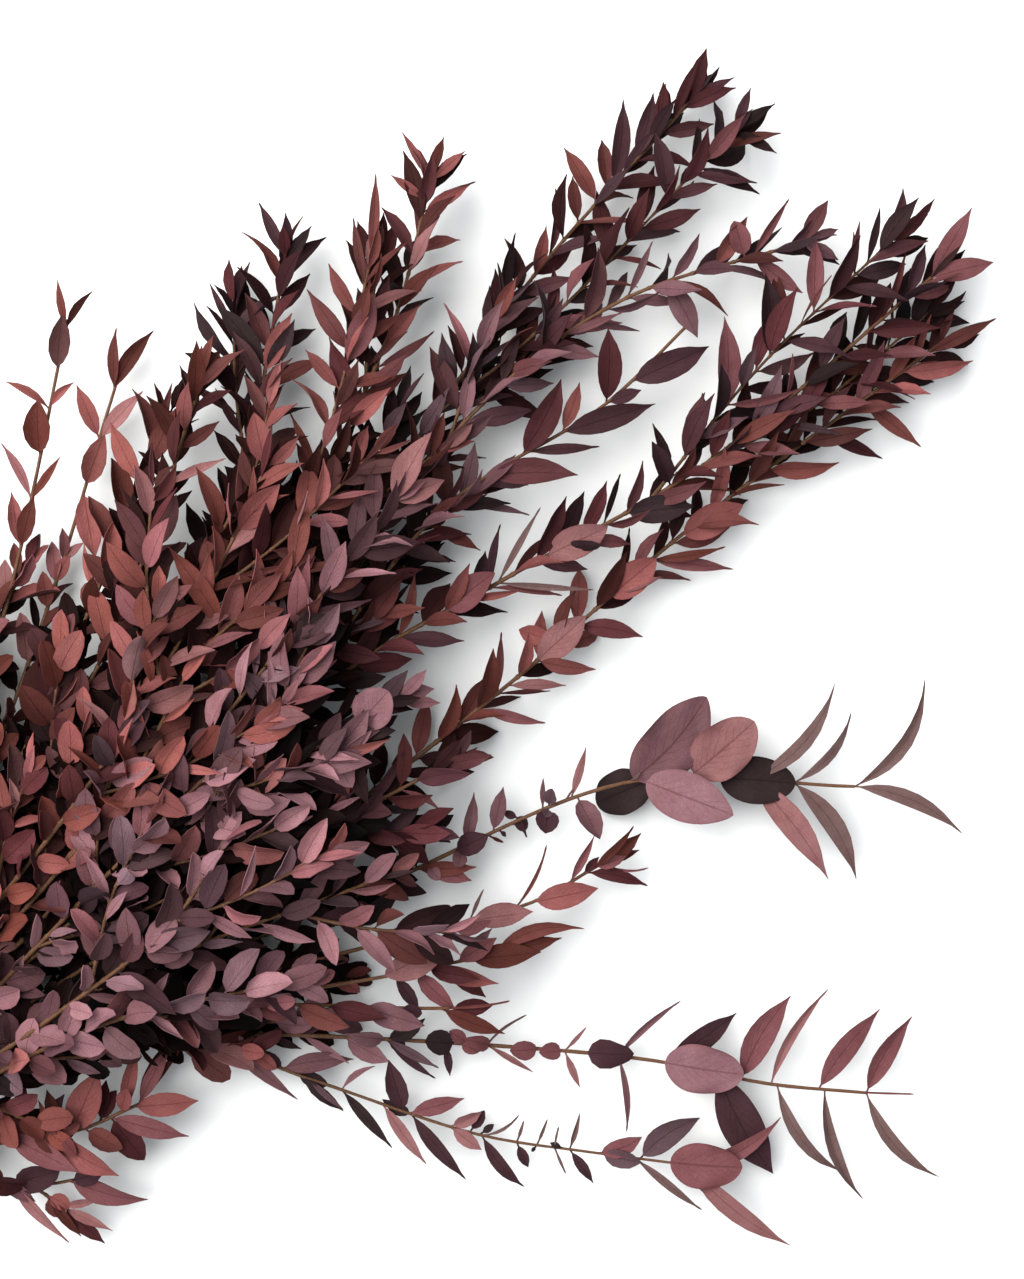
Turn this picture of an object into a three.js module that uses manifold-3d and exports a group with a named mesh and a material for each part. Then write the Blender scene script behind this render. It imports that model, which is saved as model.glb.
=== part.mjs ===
// Preserved parvifolia eucalyptus: one tied bunch of leafy branches, fanned out flat on a surface.
// Millimetres. +X runs from the cut stem ends to the longest tips, +Y across the fan, +Z up.
import * as THREE from "three";
import { mergeVertices } from "three/addons/utils/BufferGeometryUtils.js";
import Module from "manifold-3d";

const wasm = await Module();
wasm.setup();

// Four-sided stems lie in rows where the tie holds them, flat side on flat side.
const STEM_SIDES = 4;
const STEM_HALF_HEIGHT = 2.1;
const STEM_RADIUS = STEM_HALF_HEIGHT / Math.cos(Math.PI / STEM_SIDES);
const TIP_RADIUS = 0.8;
const SEAT_GAP = 0.3;
const ROW_PITCH = 2 * STEM_HALF_HEIGHT + SEAT_GAP;
const SIDE_PITCH = 6.4;
const SHOOT_SIDES = 3;
const SHOOT_RADIUS = 1.3;
const RING_SPACING = 85;

// Along X: the cut ends, the straight run through the tie, and the start of the fan near X = 0.
const CUT_END_X = -112;
const CUT_END_SCATTER = 24;
const CUT_END_SPREAD = 1.3;
const STRAIGHT_FROM_X = -80;
const STRAIGHT_RING_X = -62;
const TIE_MIDDLE_X = -51;
const TIE_WIDTH = 15;
const TIE_THICKNESS = 2;
const TIE_CORNER = 7;
const TIE_CORNER_STEPS = 4;
const RUN_END_X = -40;
const RUN_END_STEP = 5;
const RUN_OUT = 12;

// A branch climbs from the tie to its crest, then comes down to the height of its tip.
const CREST_SHARE = 0.45;

// Side shoots leave a main stem by turns to the left and to the right.
const FIRST_SHOOT = 176;
const SHOOT_SPACING = 58;
const SHOOT_SCATTER = 29;
const SHOOT_REACH = 400;
const FAR_FROM = 200;
const FAR_SPAN = 250;
const FAR_LENGTH = 0.5;
const FAR_TURN = 0.6;
const SHOOT_TURN = [24, 42];
const SHOOT_LENGTH = [62, 112];
const SHOOT_RISE = 12;
const SHOOT_LOWEST = 7;
const SHOOT_STRAIGHTENING = 0.15;
const SHOOT_BARE = 10;
const LAST_SHOOT_SHARE = 0.88;
const MOST_SHOOTS = 7;
const SOLID_SHOOT_STEP = 3;

// Leaves are small and round near the tie, long and slim far out.
const LEAF_LENGTH = 15.5;
const LEAF_GROWTH = 0.0375;
const GROWTH_REACH = 340;
const TIP_SIZE = 0.62;
const LENGTH_RANGE = [0.8, 1.2];
const LEAF_ASPECT = 0.58;
const LEAF_SLIMMING = 0.0009;
const WIDTH_RANGE = [0.88, 1.12];
const NARROW_CHANCE = 0.18;
const NARROW_WIDTH = 0.5;
const LEAF_THICKNESS = 1.2;
const LEAF_OPENING = 43;
const TIP_OPENING = 20;
const TIP_PAIRS = 4;
const OPENING_SCATTER = 30;
const ROUND_SCATTER = 40;
const LEAF_ARCH = 0.05;
const ARCH_SCATTER = 0.08;
const BOW_SCATTER = 0.1;
const LEAF_FLATNESS = 0.72;
const FACE_LEAN = 0.7;
const FACE_SCATTER = 1.7;
const PLACED_SCATTER = 0.6;
const LEAF_EDGES = 3;

// A leaf's outline: its width rises and falls with these powers of the way from its root and from its tip.
const SLIM_ASPECT = 0.2;
const FULL_ASPECT = 0.6;
const SLIM_OUTLINE = [0.8, 1.1];
const FULL_OUTLINE = [0.52, 0.58];
const BROAD_ASPECT = 0.46;
const SLIM_STATIONS = [0.32, 0.68];
const BROAD_STATIONS = [0.2, 0.5, 0.8];
const BARE_STEM = 150;
const PAIR_SPACING = 11;
const CROWDED_PAIRS = 4;
const SOLID_PAIR_STEP = 8;
const CLEARANCE = 0.35;
const ROOT_SHARE = 0.16;
const END_SINK = 2.5;
const ROOT_OFFSET = 0.5;
const SURFACE_TRIES = 6;
const SURFACE_REST = 0.04;

// Numbers that keep the seeds of branches, side shoots and leaves apart.
const BRANCH_KEYS = 100;
const ROUTED_KEY = 50;
const GROWN_KEY = 2;
const PLACED_KEY = 500;
const PHASE_KEY = 77;

// What a grown leaf tries in turn to stay clear of its neighbours: degrees round the stem and of opening.
const TURNS = [[0, 0], [28, 0], [-28, 0], [0, 16], [55, 8], [-55, 8]];
// What a side shoot tries: to its own side or the other, and millimetres added to its tip's height.
const SHOOT_WAYS = [
  { side: 1, lift: 0 },
  { side: 1, lift: 9 },
  { side: 1, lift: -9 },
  { side: -1, lift: 0 },
  { side: -1, lift: 9 },
];
// A leaf placed by hand only lifts or lowers its tip, in millimetres.
const LIFTS = [0, 5, -4, 9, 14, -8, 20];

const UP = new THREE.Vector3(0, 0, 1);
const COLOURS = { brick: 0x9a5a52, mauve: 0x7d5f66, plum: 0x4f3034, twine: 0xb49a72 };
const LEAF_ROUGHNESS = 0.7;

// A straight branch of the fan: degrees from the X axis, reach, and degrees that its tip swings.
function ray(angle, reach, swing) {
  return [0.5, 1].map((share) => {
    const turned = THREE.MathUtils.degToRad(angle + swing * share * share);
    return [reach * share * Math.cos(turned), reach * share * Math.sin(turned)];
  });
}

// The branches, row by row from the lowest, each row from the left (+Y) to the right of the fan.
// route: points seen from above, along and across the fan, from X = 0. crest, end: heights.
// leafy: the shares of the stem between which pairs of leaves grow by rule; size: of those leaves.
// leaves: those placed by hand, as [root x, root y, tip x, tip y, width, sideways bow, rise of the tip].
const ROWS = [
  [
    { name: "branch_left_outer_low", colour: "brick", crest: 15, end: 11, route: ray(47, 235, 14) },
    {
      name: "branch_pink_pairs", colour: "brick", crest: 15, end: 13, reach: 150, spacing: 20, size: 0.95,
      route: [[183, 97], [289, 153]], leafy: [0.27, 0.8],
      leaves: [
        [270, 137, 277, 165, 7.7, 0, 3], [270, 137, 296, 142, 7.7, 0, 3],
        [247, 129, 270, 140, 10.8, 0, 5], [287, 152, 307, 171, 5.4, 0, 5],
        [287, 152, 319, 158, 7.2, -0.05, 3], [249, 120, 228, 104, 11.7, 0, 4],
      ],
    },
    {
      name: "branch_long_burgundy", colour: "plum", crest: 16, end: 17, spacing: 12,
      route: [[229, 19], [379, 41], [457, 54], [564, 60]],
      leaves: [
        [562, 59, 584, 71, 8.1, 0, 5], [561, 59, 584, 53, 5.4, 0, 3], [541, 57, 560, 73, 6.8, 0, 4],
        [511, 56, 542, 82, 8.1, 0.04, 3], [501, 56, 508, 85, 8.1, 0, 2], [435, 53, 465, 74, 5.4, 0, 2],
      ],
      shoots: [{
        from: [379, 41], end: 24, route: [[440, 35], [566, 36]],
        leaves: [
          [566, 36, 584, 44, 5, 0, 5], [566, 36, 572, 15, 5.4, 0, 3],
          [565, 35, 584, 32, 5, 0, 2], [544, 35, 555, 8, 6.3, 0, 0],
        ],
      }],
    },
    {
      name: "branch_long_pink", colour: "brick", crest: 16, end: 16, spacing: 12, reach: 140,
      route: [[175, -48], [318, -68], [426, -76], [565, -97]],
      leaves: [
        [378, -71, 406, -75, 14.8, 0, 6], [336, -69, 365, -71, 14.4, 0, 6],
        [318, -68, 337, -87, 5.4, 0, -2], [303, -66, 318, -93, 5.4, 0, -3],
        [288, -64, 262, -77, 8.1, 0, -2], [348, -68, 340, -54, 9, 0, -4],
        [406, -74, 428, -103, 6.3, 0, -2], [421, -76, 451, -85, 14.4, 0, 4],
        [560, -95, 591, -107, 6.3, 0, 3], [547, -93, 564, -112, 5.9, -0.03, 0],
        [522, -88, 527, -124, 7.2, 0, -2], [500, -85, 511, -116, 6.3, 0, -3],
      ],
    },
    {
      name: "branch_large_ovals", colour: "mauve", crest: 16, end: 17, reach: 150, leafy: [0.27, 0.6],
      route: [[118, -54], [219, -93], [327, -138], [397, -211]],
      leaves: [
        [329, -137, 378, -135, 27, 0.05, 6], [334, -146, 309, -135, 20.7, 0, -7],
        [331, -142, 349, -180, 22.5, 0, 4], [349, -155, 385, -157, 24.8, 0, 7],
        [351, -168, 379, -191, 21.6, 0, -6], [364, -177, 422, -171, 6.8, 0.12, 5],
        [363, -178, 359, -232, 12.6, -0.05, 3], [380, -191, 419, -187, 4.5, 0.1, 3],
        [380, -191, 368, -242, 9.5, -0.08, -2], [397, -211, 453, -200, 6.3, 0.12, 6],
        [397, -211, 416, -260, 7.2, -0.1, 2], [293, -117, 284, -127, 10.8, 0, -3],
        [305, -127, 299, -146, 10.8, 0, 2], [303, -123, 324, -113, 4, 0, 4],
        [269, -107, 285, -99, 7.2, 0, 5], [256, -102, 274, -92, 6.3, 0, 5],
        [259, -81, 245, -109, 7.2, -0.08, 4], [233, -95, 247, -83, 7.7, 0, 1],
        [250, -101, 266, -109, 10.8, 0, -3], [229, -102, 251, -116, 7.2, 0, 3],
      ],
    },
    {
      name: "branch_right_sprigs", colour: "mauve", crest: 14, end: 14, reach: 40, leafy: [0.27, 0.44],
      size: 0.62, route: [[66, -43], [109, -81], [207, -188], [247, -237], [274, -278], [303, -313]],
      leaves: [
        [246, -237, 270, -267, 22.5, 0, 6], [226, -210, 241, -226, 14.8, 0, 4],
        [268, -267, 310, -257, 12.6, -0.06, 4], [277, -280, 324, -267, 4.5, -0.08, 5],
        [290, -297, 334, -291, 10.3, -0.05, 3], [304, -312, 342, -302, 9.5, -0.05, 3],
        [251, -237, 287, -247, 10.8, 0, -4], [235, -221, 273, -224, 3.1, -0.05, 3],
        [258, -261, 247, -310, 18.9, 0.04, -5], [276, -281, 269, -333, 5.9, 0.1, -2],
        [289, -299, 268, -347, 5.9, 0.12, -3], [303, -313, 299, -363, 6.3, 0.12, -2],
        [235, -224, 214, -249, 3.1, -0.05, -1], [212, -195, 203, -185, 9, 0, 5],
        [219, -204, 212, -195, 8.1, 0, 5], [152, -130, 161, -150, 9.9, 0, 6],
        [166, -143, 158, -127, 7.7, 0, 3], [187, -166, 179, -155, 11.7, 0, 5],
        [199, -177, 193, -167, 7.2, 0, 4], [116, -89, 143, -99, 9.5, 0, -2],
        [114, -89, 119, -133, 6.8, 0, 5], [109, -81, 114, -112, 4.5, 0, 0],
        [165, -143, 186, -148, 7.7, 0.04, 3], [164, -144, 175, -168, 4.5, 0, 1],
        [196, -178, 203, -200, 2.9, 0, -1], [218, -205, 213, -220, 3.6, 0, -1],
        [183, -164, 175, -175, 4, 0, -2],
      ],
      shoots: [{
        from: [109, -81], end: 14, leafy: [0.02, 0.05], size: 0.62,
        route: [[124, -119], [136, -144], [166, -203], [196, -244], [223, -279]],
        leaves: [
          [216, -272, 240, -296, 20.7, 0, 6], [209, -262, 242, -267, 12.6, -0.08, 3],
          [223, -279, 268, -293, 7.2, 0.1, 2], [223, -280, 230, -337, 9, 0.05, 1],
          [207, -261, 212, -299, 4, 0, -2], [197, -247, 217, -255, 8.6, 0.05, 4],
          [150, -175, 147, -213, 6.8, 0, 0], [135, -145, 134, -179, 5.4, 0, 1],
          [167, -204, 163, -234, 6.3, 0.05, 0], [149, -172, 161, -150, 9.9, 0, 6],
          [124, -119, 150, -138, 9, -0.05, 4], [127, -127, 130, -152, 5.9, 0, 0],
          [150, -173, 173, -186, 8.1, 0, 3], [144, -162, 139, -195, 5.9, 0, 2],
          [190, -237, 187, -255, 5, 0, -1], [158, -192, 162, -208, 6.8, 0, 2],
          [176, -217, 171, -229, 5, 0, -1],
        ],
      }],
    },
  ],
  [
    { name: "branch_left_outer", colour: "brick", crest: 27, end: 15, route: ray(38, 305, 6) },
    {
      name: "branch_far_left_pairs", colour: "brick", crest: 27, end: 15, reach: 150, spacing: 22, size: 0.9,
      route: [[180, 113], [295, 189]], leafy: [0.27, 0.62],
      leaves: [
        [277, 174, 295, 191, 9.9, 0, 4], [243, 151, 260, 171, 12.2, 0, 5],
        [208, 129, 223, 150, 7.2, 0, 3], [208, 129, 229, 141, 8.1, 0, 3],
        [261, 165, 255, 188, 4, 0.1, 3], [261, 165, 277, 166, 4, -0.1, 2],
        [291, 186, 304, 204, 4, 0, 5], [291, 186, 312, 189, 4, -0.05, 5],
        [226, 143, 235, 169, 4.5, 0.05, 3], [226, 143, 249, 146, 4, 0, 3],
      ],
    },
    {
      name: "branch_dark_tip", colour: "plum", crest: 28, end: 20, reach: 350,
      route: [[200, 41], [292, 78], [384, 138]],
      leaves: [
        [384, 138, 393, 164, 5.4, 0, 4], [384, 138, 393, 148, 5.4, 0, 5],
        [383, 137, 402, 140, 5.4, 0, 4], [345, 101, 368, 118, 9, 0, 6],
        [344, 108, 347, 145, 9.9, 0.04, 3],
      ],
    },
    {
      name: "branch_long_mauve", colour: "mauve", crest: 28, end: 24, spacing: 13, reach: 380,
      route: [[267, 13], [398, 29], [476, 18], [552, -21]],
      leaves: [
        [552, -21, 573, -16, 7.7, 0, 5], [552, -21, 558, -38, 6.3, 0, 3],
        [526, -12, 537, 7, 9.9, 0, 4], [496, 6, 489, -18, 10.8, 0, 4],
      ],
    },
    {
      name: "branch_longest", colour: "plum", crest: 28, end: 24, spacing: 12, reach: 215,
      route: [[258, -10], [346, -32], [449, -60], [582, -73]],
      leaves: [
        [371, -40, 400, -50, 14.8, 0, 5], [324, -22, 350, -28, 13.5, 0, 5],
        [347, -34, 385, -22, 3.1, 0, 4], [347, -35, 376, -65, 3.1, 0, -2],
        [409, -49, 434, -70, 12.6, 0, 4], [434, -56, 441, -37, 9, 0, 3],
        [582, -74, 616, -64, 9, 0, 5], [582, -74, 606, -88, 9.9, 0, 3],
      ],
      shoots: [
        {
          from: [422, -53], end: 32, route: [[500, -47], [584, -49]],
          leaves: [
            [449, -55, 473, -37, 8.1, 0, 2], [475, -51, 503, -20, 10.8, 0.04, 5],
            [505, -48, 529, -19, 10.8, 0.04, 5],
          ],
        },
        { from: [449, -60], end: 13, route: [[505, -77], [574, -84]] },
      ],
    },
    {
      name: "branch_right_tip", colour: "brick", crest: 26, end: 16, reach: 120, leafy: [0.4, 0.68],
      route: [[102, -57], [204, -114], [257, -145], [292, -155]],
      leaves: [
        [232, -130, 255, -148, 11.2, 0, 5], [258, -145, 283, -161, 11.7, 0, 5],
        [284, -155, 299, -177, 6.3, -0.08, 0], [290, -154, 314, -158, 7.2, 0, 1],
        [287, -154, 302, -160, 5.9, 0, 6], [277, -148, 298, -144, 4, 0, 4],
        [252, -139, 280, -132, 1.8, 0.05, 3], [288, -151, 313, -153, 4, 0, 4],
        [293, -155, 308, -163, 4.5, 0, 0],
      ],
    },
    {
      name: "branch_lower_left", colour: "brick", crest: 17, end: 13, leafy: [0.5, 0.68],
      route: [[-6, -44], [-1, -65], [14, -82], [29, -92]],
      leaves: [
        [20, -87, 38, -118, 11.2, 0, 4], [21, -87, 36, -94, 9, 0, 1], [2, -68, 22, -80, 13.1, 0, 3],
        [1, -69, 2, -106, 5.9, 0, 2], [8, -74, -1, -55, 9.9, 0, 2],
      ],
      shoots: [{
        from: [8, -75], end: 9, leafy: [0.4, 0.42], route: [[8, -85], [9, -95]],
        leaves: [
          [8, -93, 11, -118, 7.2, 0, 2], [10, -94, 20, -115, 5, 0, 3],
        ],
      }],
    },
  ],
  [
    { name: "branch_left_middle", colour: "brick", crest: 40, end: 30, route: ray(44, 200, 6) },
    {
      name: "branch_left_brick", colour: "brick", crest: 40, end: 24, reach: 220,
      route: [[175, 73], [298, 125]],
    },
    {
      name: "branch_brick_crown", colour: "brick", crest: 41, end: 24,
      route: [[216, 25], [391, 80], [454, 116]],
      leaves: [
        [454, 116, 460, 140, 4, 0, 6], [453, 115, 474, 114, 5.4, 0, 4],
        [442, 108, 465, 102, 6.3, 0, 3], [446, 110, 443, 130, 4.5, 0, 4],
      ],
      shoots: [{
        from: [302, 54], end: 36, route: [[362, 79], [410, 109]],
        leaves: [[410, 109, 438, 133, 5, 0, 4], [369, 83, 400, 96, 11.7, 0, 5]],
      }],
    },
    {
      name: "branch_dark_pairs", colour: "plum", crest: 41, end: 26, spacing: 18, reach: 200,
      leafy: [0.22, 0.76], route: [[213, -10], [352, 8], [438, -10], [492, -11]],
      leaves: [
        [377, 2, 407, -24, 12.2, -0.03, 2], [398, -2, 423, -22, 5, 0, -2],
        [397, -1, 432, 11, 12.2, 0.03, 4], [416, -6, 437, 4, 6.8, 0, 4],
        [416, -6, 454, -26, 11.2, 0, 2], [438, -10, 463, 13, 11.2, 0.03, 4],
        [454, -10, 489, -25, 13.1, 0, 3], [438, -10, 454, -17, 6.3, 0, -2],
        [356, 7, 378, -11, 6.3, 0, -3], [356, 7, 372, 28, 9.9, 0, 3],
      ],
    },
    {
      name: "branch_middle_dark", colour: "plum", crest: 40, end: 36, reach: 170, route: ray(-13, 288, -2),
      shoots: [{ from: [205, -52], end: 30, route: [[228, -70], [246, -87]] }],
    },
    {
      name: "branch_right_brown", colour: "brick", crest: 38, end: 24, reach: 110, leafy: [0.38, 0.68],
      route: [[100, -59], [188, -121], [243, -158]],
      leaves: [
        [191, -114, 223, -131, 13.5, 0, 8], [192, -121, 219, -132, 9, 0, 6],
        [202, -137, 222, -159, 8.6, 0, 5], [218, -145, 245, -163, 11.2, 0, -3],
        [235, -141, 266, -169, 6.8, -0.12, 2], [234, -148, 256, -165, 7.2, 0, -4],
        [215, -138, 236, -144, 8.6, 0, 5], [196, -135, 200, -154, 8.6, 0, 3],
        [230, -143, 243, -158, 7.2, 0, -3], [220, -136, 237, -140, 5.4, 0, 2],
        [202, -119, 229, -129, 5.4, 0, -3],
        [206, -130, 218, -151, 8.1, 0, -3], [207, -140, 213, -160, 7.7, 0, -3],
        [238, -147, 249, -164, 6.3, 0, -4],
      ],
    },
    {
      name: "branch_coral", colour: "brick", crest: 27, end: 19, leafy: [0.45, 0.66],
      route: [[12, -44], [38, -71], [68, -84]],
      leaves: [
        [39, -71, 67, -61, 14.8, 0, 6], [60, -83, 88, -64, 6.8, 0, 6], [73, -85, 98, -75, 6.8, 0, 5],
        [73, -86, 103, -79, 3.1, 0, 0], [69, -83, 93, -73, 5.9, 0, -1], [66, -82, 89, -102, 10.8, 0, 4],
        [55, -80, 74, -110, 9, 0, 3], [44, -75, 49, -93, 10.8, 0, 1], [55, -80, 51, -104, 12.6, 0, -5],
        [28, -62, 42, -100, 12.6, 0, 7], [18, -51, 31, -87, 10.8, 0, 1], [29, -62, 24, -36, 13.5, 0, 1],
      ],
    },
    { name: "branch_lower_right", colour: "mauve", crest: 34, end: 31, route: ray(-58, 76, -4) },
  ],
  [
    { name: "branch_left_inner", colour: "brick", crest: 52, end: 44, route: ray(33, 215, 4) },
    {
      name: "branch_left_fork", colour: "brick", crest: 53, end: 32, reach: 150,
      route: [[210, 70], [320, 125]],
    },
    { name: "branch_heart_upper", colour: "brick", crest: 54, end: 48, route: ray(11, 305, 3) },
    { name: "branch_heart", colour: "mauve", crest: 54, end: 52, route: ray(-3, 235, 0) },
    { name: "branch_heart_right", colour: "mauve", crest: 52, end: 44, route: ray(-19, 240, -3) },
    {
      name: "branch_right_edge", colour: "plum", crest: 48, end: 34, reach: 90, leafy: [0.4, 0.72],
      route: [[119, -72], [199, -151]],
      leaves: [
        [202, -142, 209, -176, 7.7, 0.03, 3], [178, -118, 187, -148, 11.7, 0, 5],
        [153, -102, 163, -125, 10.8, 0, 3], [162, -112, 178, -134, 9, 0, -4],
        [204, -145, 213, -164, 8.1, 0, -2], [188, -130, 189, -144, 6.8, 0, -4],
      ],
    },
    { name: "branch_right_short", colour: "mauve", crest: 44, end: 36, reach: 40, route: ray(-34, 97, -3) },
  ],
  [
    {
      name: "branch_top_coral", colour: "brick", crest: 66, end: 56,
      route: [[160, 30], [250, 52], [312, 74]],
      leaves: [
        [312, 74, 325, 94, 11.2, 0, 5], [285, 59, 311, 64, 11.7, 0, 4], [263, 49, 271, 69, 9.9, 0, 3],
      ],
    },
    {
      name: "branch_top_brick", colour: "brick", crest: 66, end: 60,
      route: [[170, 18], [234, 36], [288, 33]],
      leaves: [
        [288, 33, 317, 53, 9, 0, 4], [259, 43, 285, 36, 9, 0, 5], [250, 44, 258, 79, 9.9, 0.03, 4],
      ],
    },
    {
      name: "branch_top_mauve", colour: "mauve", crest: 67, end: 60, reach: 190,
      route: [[208, 8], [340, 24]],
      leaves: [
        [340, 24, 373, 34, 12.2, 0, 5], [340, 24, 363, 15, 9.5, 0, 2],
        [312, 23, 336, 4, 11.2, 0.03, 3], [290, 22, 312, 11, 9, 0, 0],
        [265, 20, 285, 10, 9, 0, 3], [275, 21, 299, 33, 5.4, 0, 2],
      ],
    },
    {
      name: "branch_top_middle", colour: "mauve", crest: 67, end: 64,
      route: [[162, -3], [256, -4]],
      leaves: [
        [255, -4, 280, -2, 10.8, 0, 6], [242, -2, 243, 17, 9.9, 0, 3], [220, -1, 236, -6, 9, 0, 3],
      ],
    },
    {
      name: "branch_top_pale", colour: "mauve", crest: 66, end: 60,
      route: [[73, -29], [148, -37], [212, -22], [260, -34]],
      leaves: [
        [259, -35, 281, -33, 18, 0, 6], [245, -30, 240, -51, 12.2, 0, 4],
        [250, -33, 239, -62, 9.9, 0, -3], [189, -27, 202, -11, 8.1, 0, 4],
        [148, -35, 128, -39, 11.7, 0, 4], [122, -38, 135, -19, 10.8, 0, 6],
        [130, -38, 153, -52, 11.7, 0, 5], [113, -37, 118, -67, 11.7, 0, 4],
      ],
    },
    { name: "branch_top_right", colour: "mauve", crest: 62, end: 54, reach: 70, route: ray(-27, 190, -3) },
  ],
];

// The same number from 0 to 1 for the same keys, for everything that varies from leaf to leaf.
function chance(...keys) {
  let mixed = 2166136261;
  for (const key of keys) {
    mixed = Math.imul(mixed ^ (key + 1), 16777619);
    mixed ^= mixed >>> 15;
    mixed = Math.imul(mixed, 2246822519);
    mixed ^= mixed >>> 13;
  }
  return (mixed >>> 0) / 4294967296;
}

function between([low, high], share) {
  return low + (high - low) * share;
}

// 0 at 0, 1 at 1, and level at both ends.
function ease(share) {
  const held = THREE.MathUtils.clamp(share, 0, 1);
  return held * held * (3 - 2 * held);
}

function solidOf(geometry) {
  geometry.deleteAttribute("normal");
  geometry.deleteAttribute("uv");
  const merged = mergeVertices(geometry, 1e-4);
  return new wasm.Manifold(new wasm.Mesh({
    numProp: 3,
    vertProperties: new Float32Array(merged.getAttribute("position").array),
    triVerts: new Uint32Array(merged.getIndex().array),
  }));
}

function geometryOf(solid) {
  const mesh = solid.getMesh();
  return new THREE.BufferGeometry()
    .setAttribute("position", new THREE.BufferAttribute(mesh.vertProperties, 3))
    .setIndex(new THREE.BufferAttribute(mesh.triVerts, 1));
}

// The stem's own directions at a point: to its right, along it, and up.
function stemAxes(tangent) {
  const right = new THREE.Vector3().crossVectors(tangent, UP).normalize();
  return { right, up: new THREE.Vector3().crossVectors(right, tangent) };
}

// A many-sided stem through rings of { point, tangent, radius }, with flat sides above and below.
function stemSolid(rings, sides) {
  const height = rings.length - 1;
  const shape = new THREE.CylinderGeometry(1, 1, height, sides, height, false, Math.PI / sides);
  const place = shape.getAttribute("position");
  for (let i = 0; i < place.count; i += 1) {
    const ring = rings[Math.round(place.getY(i) + height / 2)];
    const { right, up } = stemAxes(ring.tangent);
    const spot = ring.point.clone()
      .addScaledVector(right, place.getX(i) * ring.radius)
      .addScaledVector(up, place.getZ(i) * ring.radius);
    place.setXYZ(i, spot.x, spot.y, spot.z);
  }
  return solidOf(shape);
}

// Rings at the curve's own points from the given one on, and between them where they are far apart.
function ringsAlong(curve, skipped, baseRadius) {
  const last = curve.points.length - 1;
  const shares = [];
  for (let i = 0; i < last; i += 1) {
    if (skipped.includes(i)) continue;
    const gap = curve.points[i].distanceTo(curve.points[i + 1]);
    const parts = Math.max(1, Math.round(gap / RING_SPACING));
    for (let part = 0; part < parts; part += 1) shares.push((i + part / parts) / last);
  }
  shares.push(1);
  return shares.map((share) => ({
    point: curve.getPoint(share),
    tangent: curve.getTangent(share),
    radius: between([baseRadius, TIP_RADIUS], share),
  }));
}

// The nearest point on the straight stretches between a stem's rings: what grows there has its root in it.
function seatOn(rings, root) {
  const nearest = new THREE.Vector3();
  const spot = new THREE.Vector3();
  let least = Infinity;
  for (let i = 0; i < rings.length - 1; i += 1) {
    new THREE.Line3(rings[i].point, rings[i + 1].point).closestPointToPoint(root, true, spot);
    if (spot.distanceTo(root) >= least) continue;
    least = spot.distanceTo(root);
    nearest.copy(spot);
  }
  const end = rings.at(-1);
  const beyond = END_SINK - nearest.distanceTo(end.point);
  return beyond > 0 ? nearest.addScaledVector(end.tangent, -beyond) : nearest;
}

// A leaf's root: inside the stem, a little to the side that the leaf leaves from.
function leafSeat(shoot, root, tangent, along, share) {
  const outward = along.clone().addScaledVector(tangent, -along.dot(tangent)).normalize();
  const inner = between([shoot.rings[0].radius, TIP_RADIUS], share) * Math.cos(Math.PI / shoot.sides);
  return seatOn(shoot.rings, root).addScaledVector(outward, ROOT_OFFSET * inner);
}

// Half of a leaf's width at a share of its length, as a share of its full width.
function halfWidth(share, aspect) {
  const fullness = THREE.MathUtils.clamp((aspect - SLIM_ASPECT) / (FULL_ASPECT - SLIM_ASPECT), 0, 1);
  const [root, point] = SLIM_OUTLINE.map((power, i) => between([power, FULL_OUTLINE[i]], fullness));
  const widest = root / (root + point);
  const full = widest ** root * (1 - widest) ** point;
  return (0.5 * share ** root * (1 - share) ** point) / full;
}

// 0 at both ends of the leaf and 1 halfway.
function bulge(share) {
  return 4 * share * (1 - share);
}

// A leaf's points: its root, then left rim, raised rib and right rim at each station, and its tip.
function leafPoints(leaf, rootShare, margin) {
  const across = new THREE.Vector3().crossVectors(leaf.along, leaf.face);
  const aspect = leaf.wide / leaf.long;
  const stations = aspect > BROAD_ASPECT ? BROAD_STATIONS : SLIM_STATIONS;
  const middle = (share) => leaf.root.clone()
    .addScaledVector(leaf.along, share * leaf.long)
    .addScaledVector(leaf.face, bulge(share) * leaf.arch * leaf.long)
    .addScaledVector(across, bulge(share) * leaf.bow * leaf.long);
  const points = [middle(rootShare)];
  for (const share of stations) {
    const centre = middle(share);
    const half = halfWidth(share, aspect) * leaf.wide + margin;
    const under = centre.clone().addScaledVector(leaf.face, -margin);
    points.push(under.clone().addScaledVector(across, -half));
    points.push(centre.clone().addScaledVector(leaf.face, LEAF_THICKNESS + margin));
    points.push(under.clone().addScaledVector(across, half));
  }
  points.push(middle(1));
  return points;
}

// A blade with a raised rib and a sharp rim; its underside is flat across at every station.
function leafSolid(leaf, rootShare = 0, margin = 0) {
  const points = leafPoints(leaf, rootShare, margin);
  if (rootShare === 0) points[0].copy(leaf.seat);
  const tip = points.length - 1;
  const stations = (points.length - 2) / LEAF_EDGES;
  const faces = [];
  for (let edge = 0; edge < LEAF_EDGES; edge += 1) {
    const next = (edge + 1) % LEAF_EDGES;
    faces.push(0, 1 + next, 1 + edge);
    for (let station = 0; station < stations - 1; station += 1) {
      const near = 1 + LEAF_EDGES * station;
      const far = near + LEAF_EDGES;
      faces.push(near + edge, near + next, far + next, near + edge, far + next, far + edge);
    }
    faces.push(tip, tip - LEAF_EDGES + edge, tip - LEAF_EDGES + next);
  }
  const shape = new THREE.BufferGeometry().setFromPoints(points).setIndex(faces);
  return solidOf(shape);
}

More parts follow.
